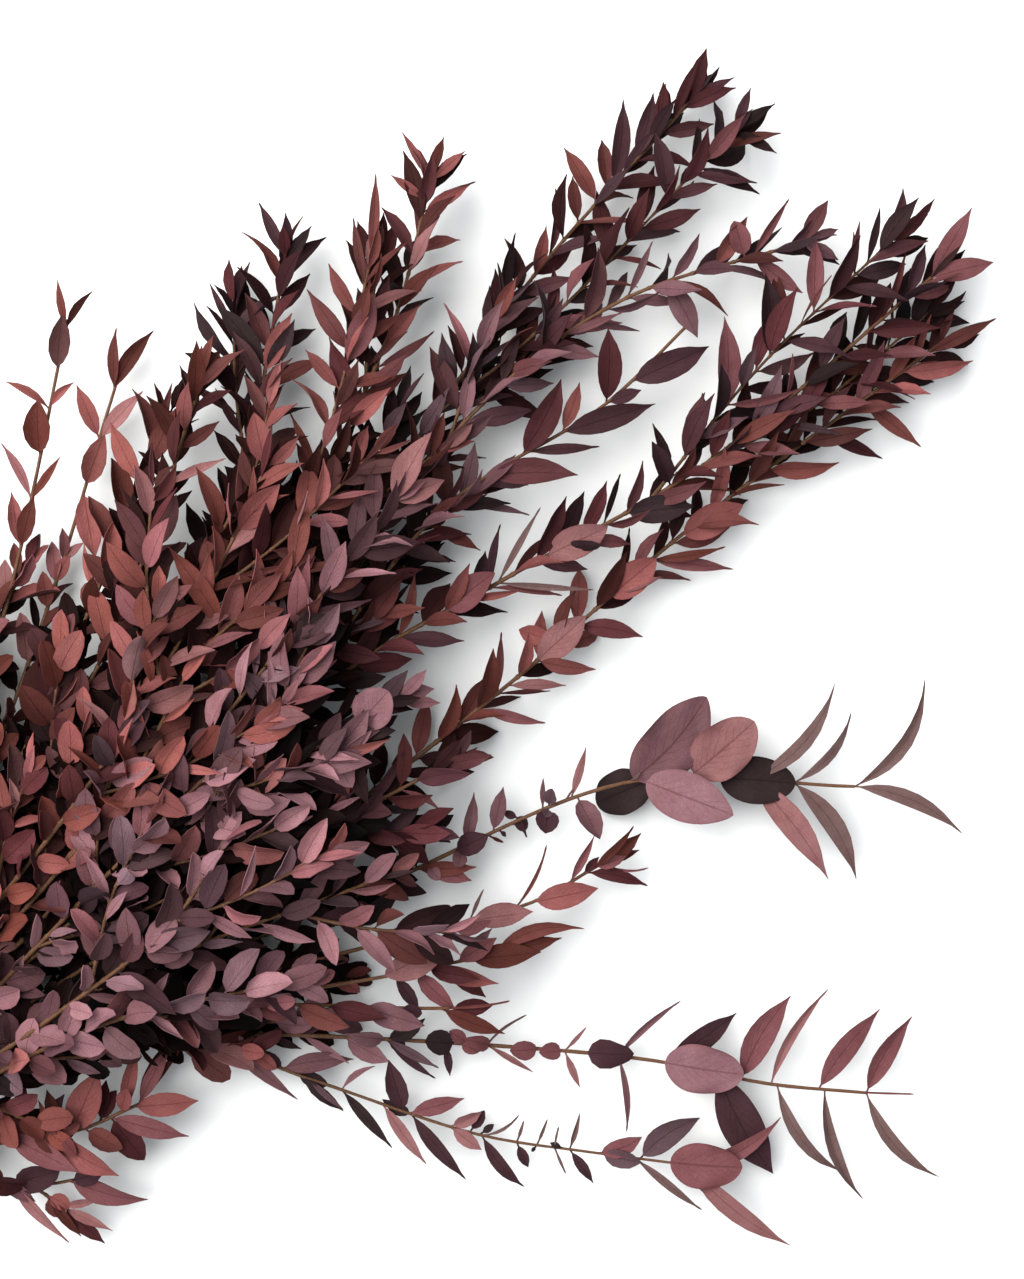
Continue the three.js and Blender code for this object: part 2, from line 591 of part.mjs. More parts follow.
// The way a leaf's face looks: square to the leaf, mostly up, a little towards the shoot's tip.
function leafFace(along, tangent, keys) {
  const scatter = new THREE.Vector3(chance(...keys, 1) - 0.5, chance(...keys, 2) - 0.5, 0);
  const most = keys[1] < PLACED_KEY ? FACE_SCATTER : PLACED_SCATTER;
  const face = UP.clone().addScaledVector(tangent, FACE_LEAN).addScaledVector(scatter, most);
  return face.addScaledVector(along, -face.dot(along)).normalize();
}

// Tips that would go below the surface are raised until they just touch it.
function restOnSurface(leaf, tangent, keys) {
  for (let i = 0; i < SURFACE_TRIES; i += 1) {
    leaf.face = leafFace(leaf.along, tangent, keys);
    const lowest = Math.min(...leafPoints(leaf, 0, 0).map((point) => point.z));
    if (lowest >= 0) return leaf;
    leaf.along.z += (SURFACE_REST - lowest) / leaf.long;
    leaf.along.normalize();
  }
  leaf.face = leafFace(leaf.along, tangent, keys);
  return leaf;
}

// Where a pair of leaves grows, counted from the tip, where the pairs stand closest.
function pairShare(shoot, pair) {
  const crowded = CROWDED_PAIRS * (1 - Math.exp(-pair / (2 * CROWDED_PAIRS)));
  return shoot.leafTo - ((pair - crowded) * shoot.spacing) / shoot.length;
}

// The leaf of a pair that grows by rule; turn is one of TURNS.
function grownLeaf(shoot, pair, side, turn) {
  const keys = [shoot.key, pair, side];
  const share = pairShare(shoot, pair);
  const root = shoot.curve.getPointAt(share);
  const tangent = shoot.curve.getTangentAt(share);
  const { right, up } = stemAxes(tangent);
  const scatter = (key, range) => range * (chance(...keys, key) - 0.5);
  const round = THREE.MathUtils.degToRad(
    shoot.phase + 90 * pair + 180 * side + turn[0] + scatter(3, ROUND_SCATTER));
  const usual = between([TIP_OPENING, LEAF_OPENING], ease(pair / TIP_PAIRS));
  const opening = THREE.MathUtils.degToRad(usual + turn[1] + scatter(4, OPENING_SCATTER));
  const along = tangent.clone().multiplyScalar(Math.cos(opening))
    .addScaledVector(right, Math.sin(opening) * Math.cos(round))
    .addScaledVector(up, Math.sin(opening) * Math.sin(round));
  along.z *= LEAF_FLATNESS;
  along.normalize();
  const reach = Math.min(Math.hypot(root.x, root.y), GROWTH_REACH);
  const young = between([TIP_SIZE, 1], ease((pair + 1) / TIP_PAIRS));
  const grown = (LEAF_LENGTH + LEAF_GROWTH * reach) * shoot.size * young;
  const long = grown * between(LENGTH_RANGE, chance(...keys, 5));
  const narrow = chance(...keys, 6) < NARROW_CHANCE ? NARROW_WIDTH : 1;
  const aspect = (LEAF_ASPECT - LEAF_SLIMMING * reach) * narrow * between(WIDTH_RANGE, chance(...keys, 7));
  const wide = long * aspect;
  const arch = LEAF_ARCH + scatter(8, ARCH_SCATTER);
  const bow = scatter(9, BOW_SCATTER);
  const seat = leafSeat(shoot, root, tangent, along, share);
  return restOnSurface({ root, seat, along, long, wide, arch, bow }, tangent, keys);
}

// A leaf placed by hand, rooted at the nearest point of its stem.
function placedLeaf(shoot, index, lift) {
  const [rootX, rootY, tipX, tipY, wide, bow, rise] = shoot.leaves[index];
  const keys = [shoot.key, PLACED_KEY + index, 0];
  const share = nearestShare(shoot.curve, rootX, rootY);
  const root = shoot.curve.getPointAt(share);
  const along = new THREE.Vector3(tipX - root.x, tipY - root.y, rise + lift);
  const long = along.length();
  along.normalize();
  const seat = leafSeat(shoot, root, shoot.curve.getTangentAt(share), along, share);
  return restOnSurface({ root, seat, along, long, wide, arch: LEAF_ARCH, bow }, UP, keys);
}

function nearestShare(curve, x, y) {
  const steps = 200;
  let best = 0;
  let least = Infinity;
  for (let i = 0; i <= steps; i += 1) {
    const point = curve.getPointAt(i / steps);
    const apart = Math.hypot(point.x - x, point.y - y);
    if (apart < least) {
      least = apart;
      best = i / steps;
    }
  }
  return best;
}

// The main stem's curve: cut end, straight run through the tie, climb to the crest, down to the tip.
function mainCurve(branch, row, place, count) {
  const y = (place - (count - 1) / 2) * -SIDE_PITCH;
  const z = TIE_THICKNESS + SEAT_GAP + STEM_HALF_HEIGHT + row * ROW_PITCH;
  const fromOutside = Math.min(place, count - 1 - place);
  const runEnd = RUN_END_X + RUN_END_STEP * fromOutside;
  const cutEnd = CUT_END_X + CUT_END_SCATTER * chance(row, place);
  const points = [
    new THREE.Vector3(cutEnd, y * CUT_END_SPREAD, z),
    ...[STRAIGHT_FROM_X, STRAIGHT_RING_X, runEnd, runEnd + RUN_OUT].map((x) => new THREE.Vector3(x, y, z)),
  ];
  const steps = [];
  let from = [runEnd + RUN_OUT, y];
  let total = 0;
  for (const to of branch.route) {
    total += Math.hypot(to[0] - from[0], to[1] - from[1]);
    steps.push(total);
    from = to;
  }
  branch.route.forEach(([x, across], i) => {
    const share = steps[i] / total;
    const climb = ease(share / CREST_SHARE);
    const fall = ease((share - CREST_SHARE) / (1 - CREST_SHARE));
    points.push(new THREE.Vector3(x, across, between([between([z, branch.crest], climb), branch.end], fall)));
  });
  return new THREE.CatmullRomCurve3(points);
}

function asShoot(key, curve, rings, sides, rule) {
  const length = curve.getLength();
  const [leafFrom, leafTo] = rule.leafy ?? [rule.bare / length, 1];
  return {
    key,
    curve,
    rings,
    sides,
    length,
    leafFrom,
    leafTo,
    spacing: rule.spacing ?? PAIR_SPACING,
    size: rule.size ?? 1,
    phase: 360 * chance(key, PHASE_KEY),
    leaves: rule.leaves ?? [],
  };
}

// A side shoot's rings, the first one in the middle of the main stem.
function seatedRings(curve, main) {
  const rings = ringsAlong(curve, [], SHOOT_RADIUS);
  rings[0].point = seatOn(main.rings, rings[0].point);
  return rings;
}

// A side shoot with a route of its own, from the nearest point of the main stem.
function routedShoot(main, key, rule) {
  const start = main.curve.getPointAt(nearestShare(main.curve, ...rule.from));
  const points = [start, ...rule.route.map(([x, y], i) =>
    new THREE.Vector3(x, y, between([start.z, rule.end], (i + 1) / rule.route.length)))];
  const curve = new THREE.CatmullRomCurve3(points);
  return asShoot(key, curve, seatedRings(curve, main), SHOOT_SIDES, { bare: SHOOT_BARE, ...rule });
}

// A side shoot that grows by rule from the main stem; way is one of SHOOT_WAYS.
function grownShoot(main, index, rule, way) {
  const key = main.key + GROWN_KEY + index;
  const from = FIRST_SHOOT + SHOOT_SPACING * index + SHOOT_SCATTER * chance(main.key, index, 11);
  const share = from / main.length;
  if (share > LAST_SHOOT_SHARE) return null;
  const start = main.curve.getPointAt(share);
  const reach = Math.hypot(start.x, start.y);
  if (reach > (rule.reach ?? SHOOT_REACH)) return null;
  const far = ease((reach - FAR_FROM) / FAR_SPAN);
  const tangent = main.curve.getTangentAt(share);
  const straight = new THREE.Vector3(tangent.x, tangent.y, 0).normalize();
  const side = (index + main.key / BRANCH_KEYS) % 2 ? way.side : -way.side;
  const spread = between([1, FAR_TURN], far) * between(SHOOT_TURN, chance(main.key, index, 12));
  const turn = THREE.MathUtils.degToRad(side * spread);
  const heading = straight.clone().applyAxisAngle(UP, turn);
  const long = between([1, FAR_LENGTH], far) * between(SHOOT_LENGTH, chance(main.key, index, 13));
  const rise = SHOOT_RISE * (2 * chance(main.key, index, 14) - 1) + way.lift;
  const end = Math.max(SHOOT_LOWEST, start.z + rise);
  const middle = start.clone().addScaledVector(heading, 0.5 * long);
  middle.z = (start.z + end) / 2;
  const tip = middle.clone()
    .addScaledVector(heading, (0.5 - SHOOT_STRAIGHTENING) * long)
    .addScaledVector(straight, SHOOT_STRAIGHTENING * long);
  tip.z = end;
  const curve = new THREE.CatmullRomCurve3([start, middle, tip]);
  const habit = { bare: SHOOT_BARE, size: rule.size, spacing: rule.spacing };
  return asShoot(key, curve, seatedRings(curve, main), SHOOT_SIDES, habit);
}

function branchOf(rule, row, place, count, number) {
  const key = BRANCH_KEYS * (number + 1);
  const curve = mainCurve(rule, row, place, count);
  const rings = ringsAlong(curve, [1], STEM_RADIUS);
  const main = asShoot(key, curve, rings, STEM_SIDES, { bare: BARE_STEM, ...rule });
  const side = (rule.shoots ?? []).map((shoot, i) => routedShoot(main, key + ROUTED_KEY + i, shoot));
  return { rule, main, side };
}

function boxOf(solid) {
  const { min, max } = solid.boundingBox();
  return new THREE.Box3(new THREE.Vector3(...min), new THREE.Vector3(...max));
}

function ownedBy(owner, solid) {
  return { owner, solid, box: boxOf(solid) };
}

function meetsNothing(probe, taken) {
  const box = boxOf(probe);
  return !taken.some((other) => other.box.intersectsBox(box) && !other.solid.intersect(probe).isEmpty());
}

// Side shoots that clear every other branch, in the first way that does.
function addGrownShoots(branch, number, taken) {
  const others = taken.filter((entry) => entry.owner !== number);
  for (let index = 0; index < MOST_SHOOTS; index += SOLID_SHOOT_STEP) {
    const shoot = SHOOT_WAYS
      .map((way) => grownShoot(branch.main, index, branch.rule, way))
      .find((candidate) => candidate && meetsNothing(fattened(candidate), others));
    if (!shoot) continue;
    branch.side.push(shoot);
    taken[number] = ownedBy(number, taken[number].solid.add(stemSolid(shoot.rings, SHOOT_SIDES)));
  }
}

function fattened(shoot) {
  const rings = shoot.rings.map((ring) => ({ ...ring, radius: ring.radius + 2 * CLEARANCE }));
  return stemSolid(rings, SHOOT_SIDES);
}

function stemOf(branch) {
  return branch.side.reduce(
    (joined, shoot) => joined.add(stemSolid(shoot.rings, SHOOT_SIDES)),
    stemSolid(branch.main.rings, STEM_SIDES));
}

// True where the leaf, a little enlarged, meets no other branch, and beyond its root not its own either.
function isClear(leaf, owner, taken) {
  const outer = leafSolid(leaf, ROOT_SHARE, CLEARANCE);
  if (outer.boundingBox().min[2] <= -2 * CLEARANCE || !meetsNothing(outer, taken)) return false;
  const others = taken.filter((entry) => entry.owner !== owner);
  return meetsNothing(leafSolid(leaf, 0, CLEARANCE), others);
}

function addLeaves(branch, owner, own, taken) {
  const add = (candidates) => {
    const leaf = candidates.find((candidate) => isClear(candidate, owner, taken));
    if (!leaf) return;
    const solid = leafSolid(leaf);
    own.push(solid);
    taken.push(ownedBy(owner, solid));
  };
  for (const shoot of [branch.main, ...branch.side]) {
    shoot.leaves.forEach((row, index) => add(LIFTS.map((lift) => placedLeaf(shoot, index, lift))));
  }
  return add;
}

function addGrownLeaves(branch, add) {
  for (const shoot of [branch.main, ...branch.side]) {
    for (let pair = 0; pairShare(shoot, pair) >= shoot.leafFrom; pair += SOLID_PAIR_STEP) {
      for (const side of [0, 1]) add(TURNS.map((turn) => grownLeaf(shoot, pair, side, turn)));
    }
  }
}

// The tie: a band with a flat underside, round the rows of stems.
function tieSolid(rowCounts) {
  const halfWidth = (Math.max(...rowCounts) * SIDE_PITCH) / 2;
  const height = rowCounts.length * ROW_PITCH - SEAT_GAP;
  const outline = (Outline, grow) => {
    const shape = new Outline();
    const side = halfWidth + grow;
    const low = -grow;
    const high = height + grow;
    const corner = TIE_CORNER + grow;
    shape.moveTo(-side + corner, low);
    shape.lineTo(side - corner, low);
    shape.absarc(side - corner, low + corner, corner, -Math.PI / 2, 0, false);
    shape.absarc(side - corner, high - corner, corner, 0, Math.PI / 2, false);
    shape.absarc(-side + corner, high - corner, corner, Math.PI / 2, Math.PI, false);
    shape.absarc(-side + corner, low + corner, corner, Math.PI, 1.5 * Math.PI, false);
    return shape;
  };
  const ring = outline(THREE.Shape, SEAT_GAP + TIE_THICKNESS);
  ring.holes.push(outline(THREE.Path, SEAT_GAP));
  const band = new THREE.ExtrudeGeometry(ring, {
    depth: TIE_WIDTH,
    bevelEnabled: false,
    curveSegments: TIE_CORNER_STEPS,
  });
  band.rotateX(Math.PI / 2).rotateZ(Math.PI / 2);
  band.translate(TIE_MIDDLE_X - TIE_WIDTH / 2, 0, SEAT_GAP + TIE_THICKNESS);
  return solidOf(band);
}

function named(name, solid, colour) {
  const material = new THREE.MeshStandardMaterial({
    color: COLOURS[colour],
    roughness: LEAF_ROUGHNESS,
    metalness: 0,
    flatShading: true,
  });
  const mesh = new THREE.Mesh(geometryOf(solid), material);
  mesh.name = name;
  return mesh;
}

const branches = [];
ROWS.forEach((row, level) => row.forEach((rule, place) => {
  branches.push(branchOf(rule, level, place, row.length, branches.length));
}));

// All stems come first, so that every leaf can keep clear of every stem.
const taken = branches.map((branch, number) => ownedBy(number, stemOf(branch)));
branches.forEach((branch, number) => addGrownShoots(branch, number, taken));
const stems = taken.map(({ solid }) => solid);
const leaves = branches.map(() => []);
const adders = branches.map((branch, i) => addLeaves(branch, i, leaves[i], taken));
branches.forEach((branch, i) => addGrownLeaves(branch, adders[i]));

const bunch = new THREE.Group();
branches.forEach((branch, i) => {
  const solid = leaves[i].reduce((joined, leaf) => joined.add(leaf), stems[i]);
  bunch.add(named(branch.rule.name, solid, branch.rule.colour));
});
bunch.add(named("tie", tieSolid(ROWS.map((row) => row.length)), "twine"));

// The bunch stands on Z = 0, with the middle of its footprint at the origin.
const bounds = new THREE.Box3().setFromObject(bunch);
const centre = bounds.getCenter(new THREE.Vector3());
bunch.position.set(-centre.x, -centre.y, -bounds.min.z);

const eucalyptus = new THREE.Group();
eucalyptus.add(bunch);

export default eucalyptus;
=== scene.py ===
"""Preserved parvifolia eucalyptus: a tied bunch of leafy branches, fanned out flat on a pale surface."""

import math

import bmesh
import bpy
from mathutils import Matrix, Vector, kdtree


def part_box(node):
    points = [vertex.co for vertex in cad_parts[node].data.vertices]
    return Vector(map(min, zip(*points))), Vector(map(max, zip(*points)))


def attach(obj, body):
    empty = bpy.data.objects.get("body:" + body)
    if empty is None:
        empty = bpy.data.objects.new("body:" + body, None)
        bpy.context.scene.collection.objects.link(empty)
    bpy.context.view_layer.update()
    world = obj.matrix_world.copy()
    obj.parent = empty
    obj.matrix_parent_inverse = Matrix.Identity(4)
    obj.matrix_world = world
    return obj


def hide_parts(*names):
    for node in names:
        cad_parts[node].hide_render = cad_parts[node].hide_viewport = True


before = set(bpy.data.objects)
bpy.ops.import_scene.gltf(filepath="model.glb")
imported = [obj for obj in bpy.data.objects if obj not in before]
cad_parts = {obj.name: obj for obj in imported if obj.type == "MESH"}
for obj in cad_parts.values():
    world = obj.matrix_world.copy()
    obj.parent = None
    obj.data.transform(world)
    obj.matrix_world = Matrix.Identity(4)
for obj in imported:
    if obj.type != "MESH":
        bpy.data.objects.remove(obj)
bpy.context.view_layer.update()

MM = 0.001

# Growth, in millimetres and degrees, the same as the solids'. X runs along the fan from where the stems part.
# First the main stems, from their cut ends to their crests.
STEM_HALF_HEIGHT = 2.1
SEAT_GAP = 0.3
ROW_PITCH = 2 * STEM_HALF_HEIGHT + SEAT_GAP
SIDE_PITCH = 6.4
CUT_END_X = -112
CUT_END_SCATTER = 24
CUT_END_SPREAD = 1.3
STRAIGHT_FROM_X = -80
STRAIGHT_RING_X = -62
TIE_MIDDLE_X = -51
TIE_THICKNESS = 2
TIE_CORNER = 7
RUN_END_X = -40
RUN_END_STEP = 5
RUN_OUT = 12
CREST_SHARE = 0.45

# The side shoots: how far from the cut end they start, and how they turn and grow less further out.
FIRST_SHOOT = 176
SHOOT_SPACING = 58
SHOOT_SCATTER = 29
SHOOT_REACH = 400
FAR_FROM = 200
FAR_SPAN = 250
FAR_LENGTH = 0.5
FAR_TURN = 0.6
SHOOT_TURN = (24, 42)
SHOOT_LENGTH = (62, 112)
SHOOT_RISE = 12
SHOOT_LOWEST = 7
SHOOT_STRAIGHTENING = 0.15
SHOOT_BARE = 10
LAST_SHOOT_SHARE = 0.88
MOST_SHOOTS = 7

# The leaves: small and round near the tie, long and slim further out, closer to the stem at its tip.
LEAF_LENGTH = 15.5
LEAF_GROWTH = 0.0375
GROWTH_REACH = 340
TIP_SIZE = 0.62
LENGTH_RANGE = (0.8, 1.2)
LEAF_ASPECT = 0.58
LEAF_SLIMMING = 0.0009
WIDTH_RANGE = (0.88, 1.12)
NARROW_CHANCE = 0.18
NARROW_WIDTH = 0.5
LEAF_OPENING = 43
TIP_OPENING = 20
TIP_PAIRS = 4
OPENING_SCATTER = 30
ROUND_SCATTER = 40
LEAF_ARCH = 0.05
ARCH_SCATTER = 0.08
BOW_SCATTER = 0.1
LEAF_FLATNESS = 0.72
FACE_LEAN = 0.7
FACE_SCATTER = 1.7
PLACED_SCATTER = 0.6
SLIM_ASPECT = 0.2
FULL_ASPECT = 0.6
SLIM_OUTLINE = (0.8, 1.1)
FULL_OUTLINE = (0.52, 0.58)
BARE_STEM = 118
PAIR_SPACING = 11
CROWDED_PAIRS = 4

# Keys that tell branches, shoots and leaves apart wherever something varies.
BRANCH_KEYS = 100
ROUTED_KEY = 50
GROWN_KEY = 2
PLACED_KEY = 500
PHASE_KEY = 77

# Other ways that a leaf or shoot takes in the solids where the first would touch something.
TURNS = ((0, 0), (28, 0), (-28, 0), (0, 16), (55, 8), (-55, 8))
SHOOT_WAYS = ((1, 0), (1, 9), (1, -9), (-1, 0), (-1, 9))
LIFTS = (0, 5, -4, 9, 14, -8, 20)
LEAF_TIP_REACH = 0.1
SHOOT_TIP_REACH = 1.2

# How leaves are kept above the surface.
RAISES = 6
RAISED_BY = 0.04
BROAD_ASPECT = 0.46
BROAD_STATIONS = (0.2, 0.5, 0.8)
SLIM_STATIONS = (0.32, 0.68)
SOLID_BLADE = 1.2

# The fine stems, in millimetres.
STEM_RADIUS = 2.0
STEM_TIP_RADIUS = 0.75
SHOOT_RADIUS = 1.15
SHOOT_TIP_RADIUS = 0.6
STEM_SIDES = 8
SHOOT_SIDES = 6
STEM_TAPER = 0.35
STEM_WOBBLE = 0.12
RING_SPACING = 9
PAIR_SWELLING = 0.3
SWELLING_REACH = 1.5

# The fine blades: their stalks and points, and how much each is folded, cupped, twisted, curled and waved.
BLADE_THICKNESS = 0.34
STALK_LENGTH = 1.6
STALK_HALF_WIDTH = 0.42
MOST_STALK = 0.3
TIP_HALF_WIDTH = 0.12
POINTED_BELOW = 0.56
POINTED_SPAN = 0.3
POINTED = 0.5
POINT_FROM = 0.7
CURL_FROM = 0.45
FOLD = (0.08, 0.55)
CUP = (-0.2, 0.22)
TWIST = (-36, 36)
ROLL = (-10, 10)
CURL = (-0.28, 0.12)
WAVE_HEIGHT = (0.0, 0.1)
WAVE_COUNT = (2.0, 3.6)
LOWEST = 0.25
HIGHEST = 81
LARGE_FROM = 27
BROAD_FROM = 15
BROAD_LIMPNESS = 0.35

# The leaves' tones: painted shade, darker where others lie over them; paler and rounder towards the tie.
PAINTED_SHADE_REACH = 11
PAINTED_SHADE_HEIGHT = 3
FULL_PAINTED_SHADE = 3.4
# Painted shade: the dark tone that leaves lying under others are darkened towards, weaker at the tips.
PAINTED_SHADE_TONE = (0.05, 0.03, 0.03)
TIP_PAINTED_SHADE = 0.82
PALER_TO = 360
PALER_SPAN = 150
PALER = 1.7
PALEST = 0.19
SECOND_COLOUR = 0.35
TONE_RANGE = (0.3, 1.45)
TONE_LEAN = 0.7
ROUNDER_TO = 320
ROUNDER_SPAN = 200
WIDER = 0.08
FULLER = 0.6

UP = Vector((0, 0, 1))


def ray(angle, reach, swing):
    """A straight branch of the fan: degrees from the X axis, reach, and degrees that its tip swings."""
    points = []
    for share in (0.5, 1):
        turned = math.radians(angle + swing * share * share)
        points.append((reach * share * math.cos(turned), reach * share * math.sin(turned)))
    return points


# The branches, row by row from the lowest, each row from the left (+Y) to the right of the fan.
# leaves: those listed one by one, as (root x, root y, tip x, tip y, width, rise of the tip), and a sideways
# bow
# if there is one. small_leaves: more such leaves, too small for the solids.
# tints: colours of the listed leaves, with - for one of the branch's own colours.
ROWS = [[], [], [], [], []]


def branch(row, name, colour, crest, end, route, **habit):
    """A branch with its row, main colour, height at its crest and at its tip, and route seen from above."""
    rule = dict(name="branch_" + name, colour=colour, crest=crest, end=end, route=route, **habit)
    ROWS[row].append(rule)


branch(0, "left_outer_low", "brick", 15, 11, ray(47, 235, 14))
branch(
    0, "pink_pairs", "brick", 15, 13, [(183, 97), (289, 153)], reach=150, spacing=20, size=0.95,
    leafy=(0.27, 0.8),
    leaves=[
        (270, 137, 277, 165, 7.7, 3), (270, 137, 296, 142, 7.7, 3), (247, 129, 270, 140, 10.8, 5),
        (287, 152, 307, 171, 5.4, 5), (287, 152, 319, 158, 7.2, 3, -0.05), (249, 120, 228, 104, 11.7, 4),
    ],
)
branch(
    0, "long_burgundy", "plum", 16, 17, [(229, 19), (379, 41), (457, 54), (564, 60)], spacing=12,
    leaves=[
        (562, 59, 584, 71, 8.1, 5), (561, 59, 584, 53, 5.4, 3), (541, 57, 560, 73, 6.8, 4),
        (511, 56, 542, 82, 8.1, 3, 0.04), (501, 56, 508, 85, 8.1, 2), (435, 53, 465, 74, 5.4, 2),
    ],
    shoots=[dict(
        start=(379, 41), end=24, route=[(440, 35), (566, 36)],
        leaves=[
            (566, 36, 584, 44, 5, 5), (566, 36, 572, 15, 5.4, 3), (565, 35, 584, 32, 5, 2),
            (544, 35, 555, 8, 6.3, 0),
        ],
    )],
)
branch(
    0, "long_pink", "brick", 16, 16, [(175, -48), (318, -68), (426, -76), (565, -97)], spacing=12, reach=140,
    leaves=[
        (378, -71, 406, -75, 14.8, 6), (336, -69, 365, -71, 14.4, 6), (318, -68, 337, -87, 5.4, -2),
        (303, -66, 318, -93, 5.4, -3), (288, -64, 262, -77, 8.1, -2), (348, -68, 340, -54, 9, -4),
        (406, -74, 428, -103, 6.3, -2), (421, -76, 451, -85, 14.4, 4), (560, -95, 591, -107, 6.3, 3),
        (547, -93, 564, -112, 5.9, 0, -0.03), (522, -88, 527, -124, 7.2, -2), (500, -85, 511, -116, 6.3, -3),
    ],
    tints="coral dusty_pink - - - - rose coral",
)
branch(
    0, "large_ovals", "mauve", 16, 17, [(118, -54), (219, -93), (327, -138), (397, -211)], reach=150,
    leafy=(0.27, 0.6),
    leaves=[
        (329, -137, 378, -135, 27, 6, 0.05), (334, -146, 309, -135, 20.7, -7),
        (331, -142, 349, -180, 22.5, 4), (349, -155, 385, -157, 24.8, 7), (351, -168, 379, -191, 21.6, -6),
        (364, -177, 422, -171, 6.8, 5, 0.12), (363, -178, 359, -232, 12.6, 3, -0.05),
        (380, -191, 419, -187, 4.5, 3, 0.1), (380, -191, 368, -242, 9.5, -2, -0.08),
        (397, -211, 453, -200, 6.3, 6, 0.12), (397, -211, 416, -260, 7.2, 2, -0.1),
        (293, -117, 284, -127, 10.8, -3), (305, -127, 299, -146, 10.8, 2), (303, -123, 324, -113, 4, 4),
        (269, -107, 285, -99, 7.2, 5), (256, -102, 274, -92, 6.3, 5), (259, -81, 245, -109, 7.2, 4, -0.08),
        (233, -95, 247, -83, 7.7, 1), (250, -101, 266, -109, 10.8, -3), (229, -102, 251, -116, 7.2, 3),
    ],
    small_leaves=[
        (294, -119, 300, -115, 6.3, 6), (294, -119, 289, -122, 5, 5), (290, -116, 300, -109, 2.7, 4),
        (275, -110, 281, -119, 7.2, -3), (280, -113, 277, -107, 4, 0), (278, -118, 276, -123, 1.4, -3),
        (269, -109, 270, -116, 2.2, -2), (263, -111, 267, -117, 1.8, -4), (228, -109, 245, -119, 8.1, 2),
        (236, -97, 235, -108, 5.9, 4), (226, -92, 242, -78, 5.4, 0), (300, -121, 306, -122, 1.1, 2),
        (328, -137, 333, -138, 1.8, 4),
    ],
    tints="mauve near_black pale_mauve dusty_pink near_black grey_brown dusty_pink grey_brown grey_brown "
          "grey_brown grey_brown plum mauve dusty_pink mauve mauve mauve plum plum brick grey_mauve "
          "grey_mauve mauve plum plum plum plum russet rose pale_mauve plum grey_brown grey_brown",
)
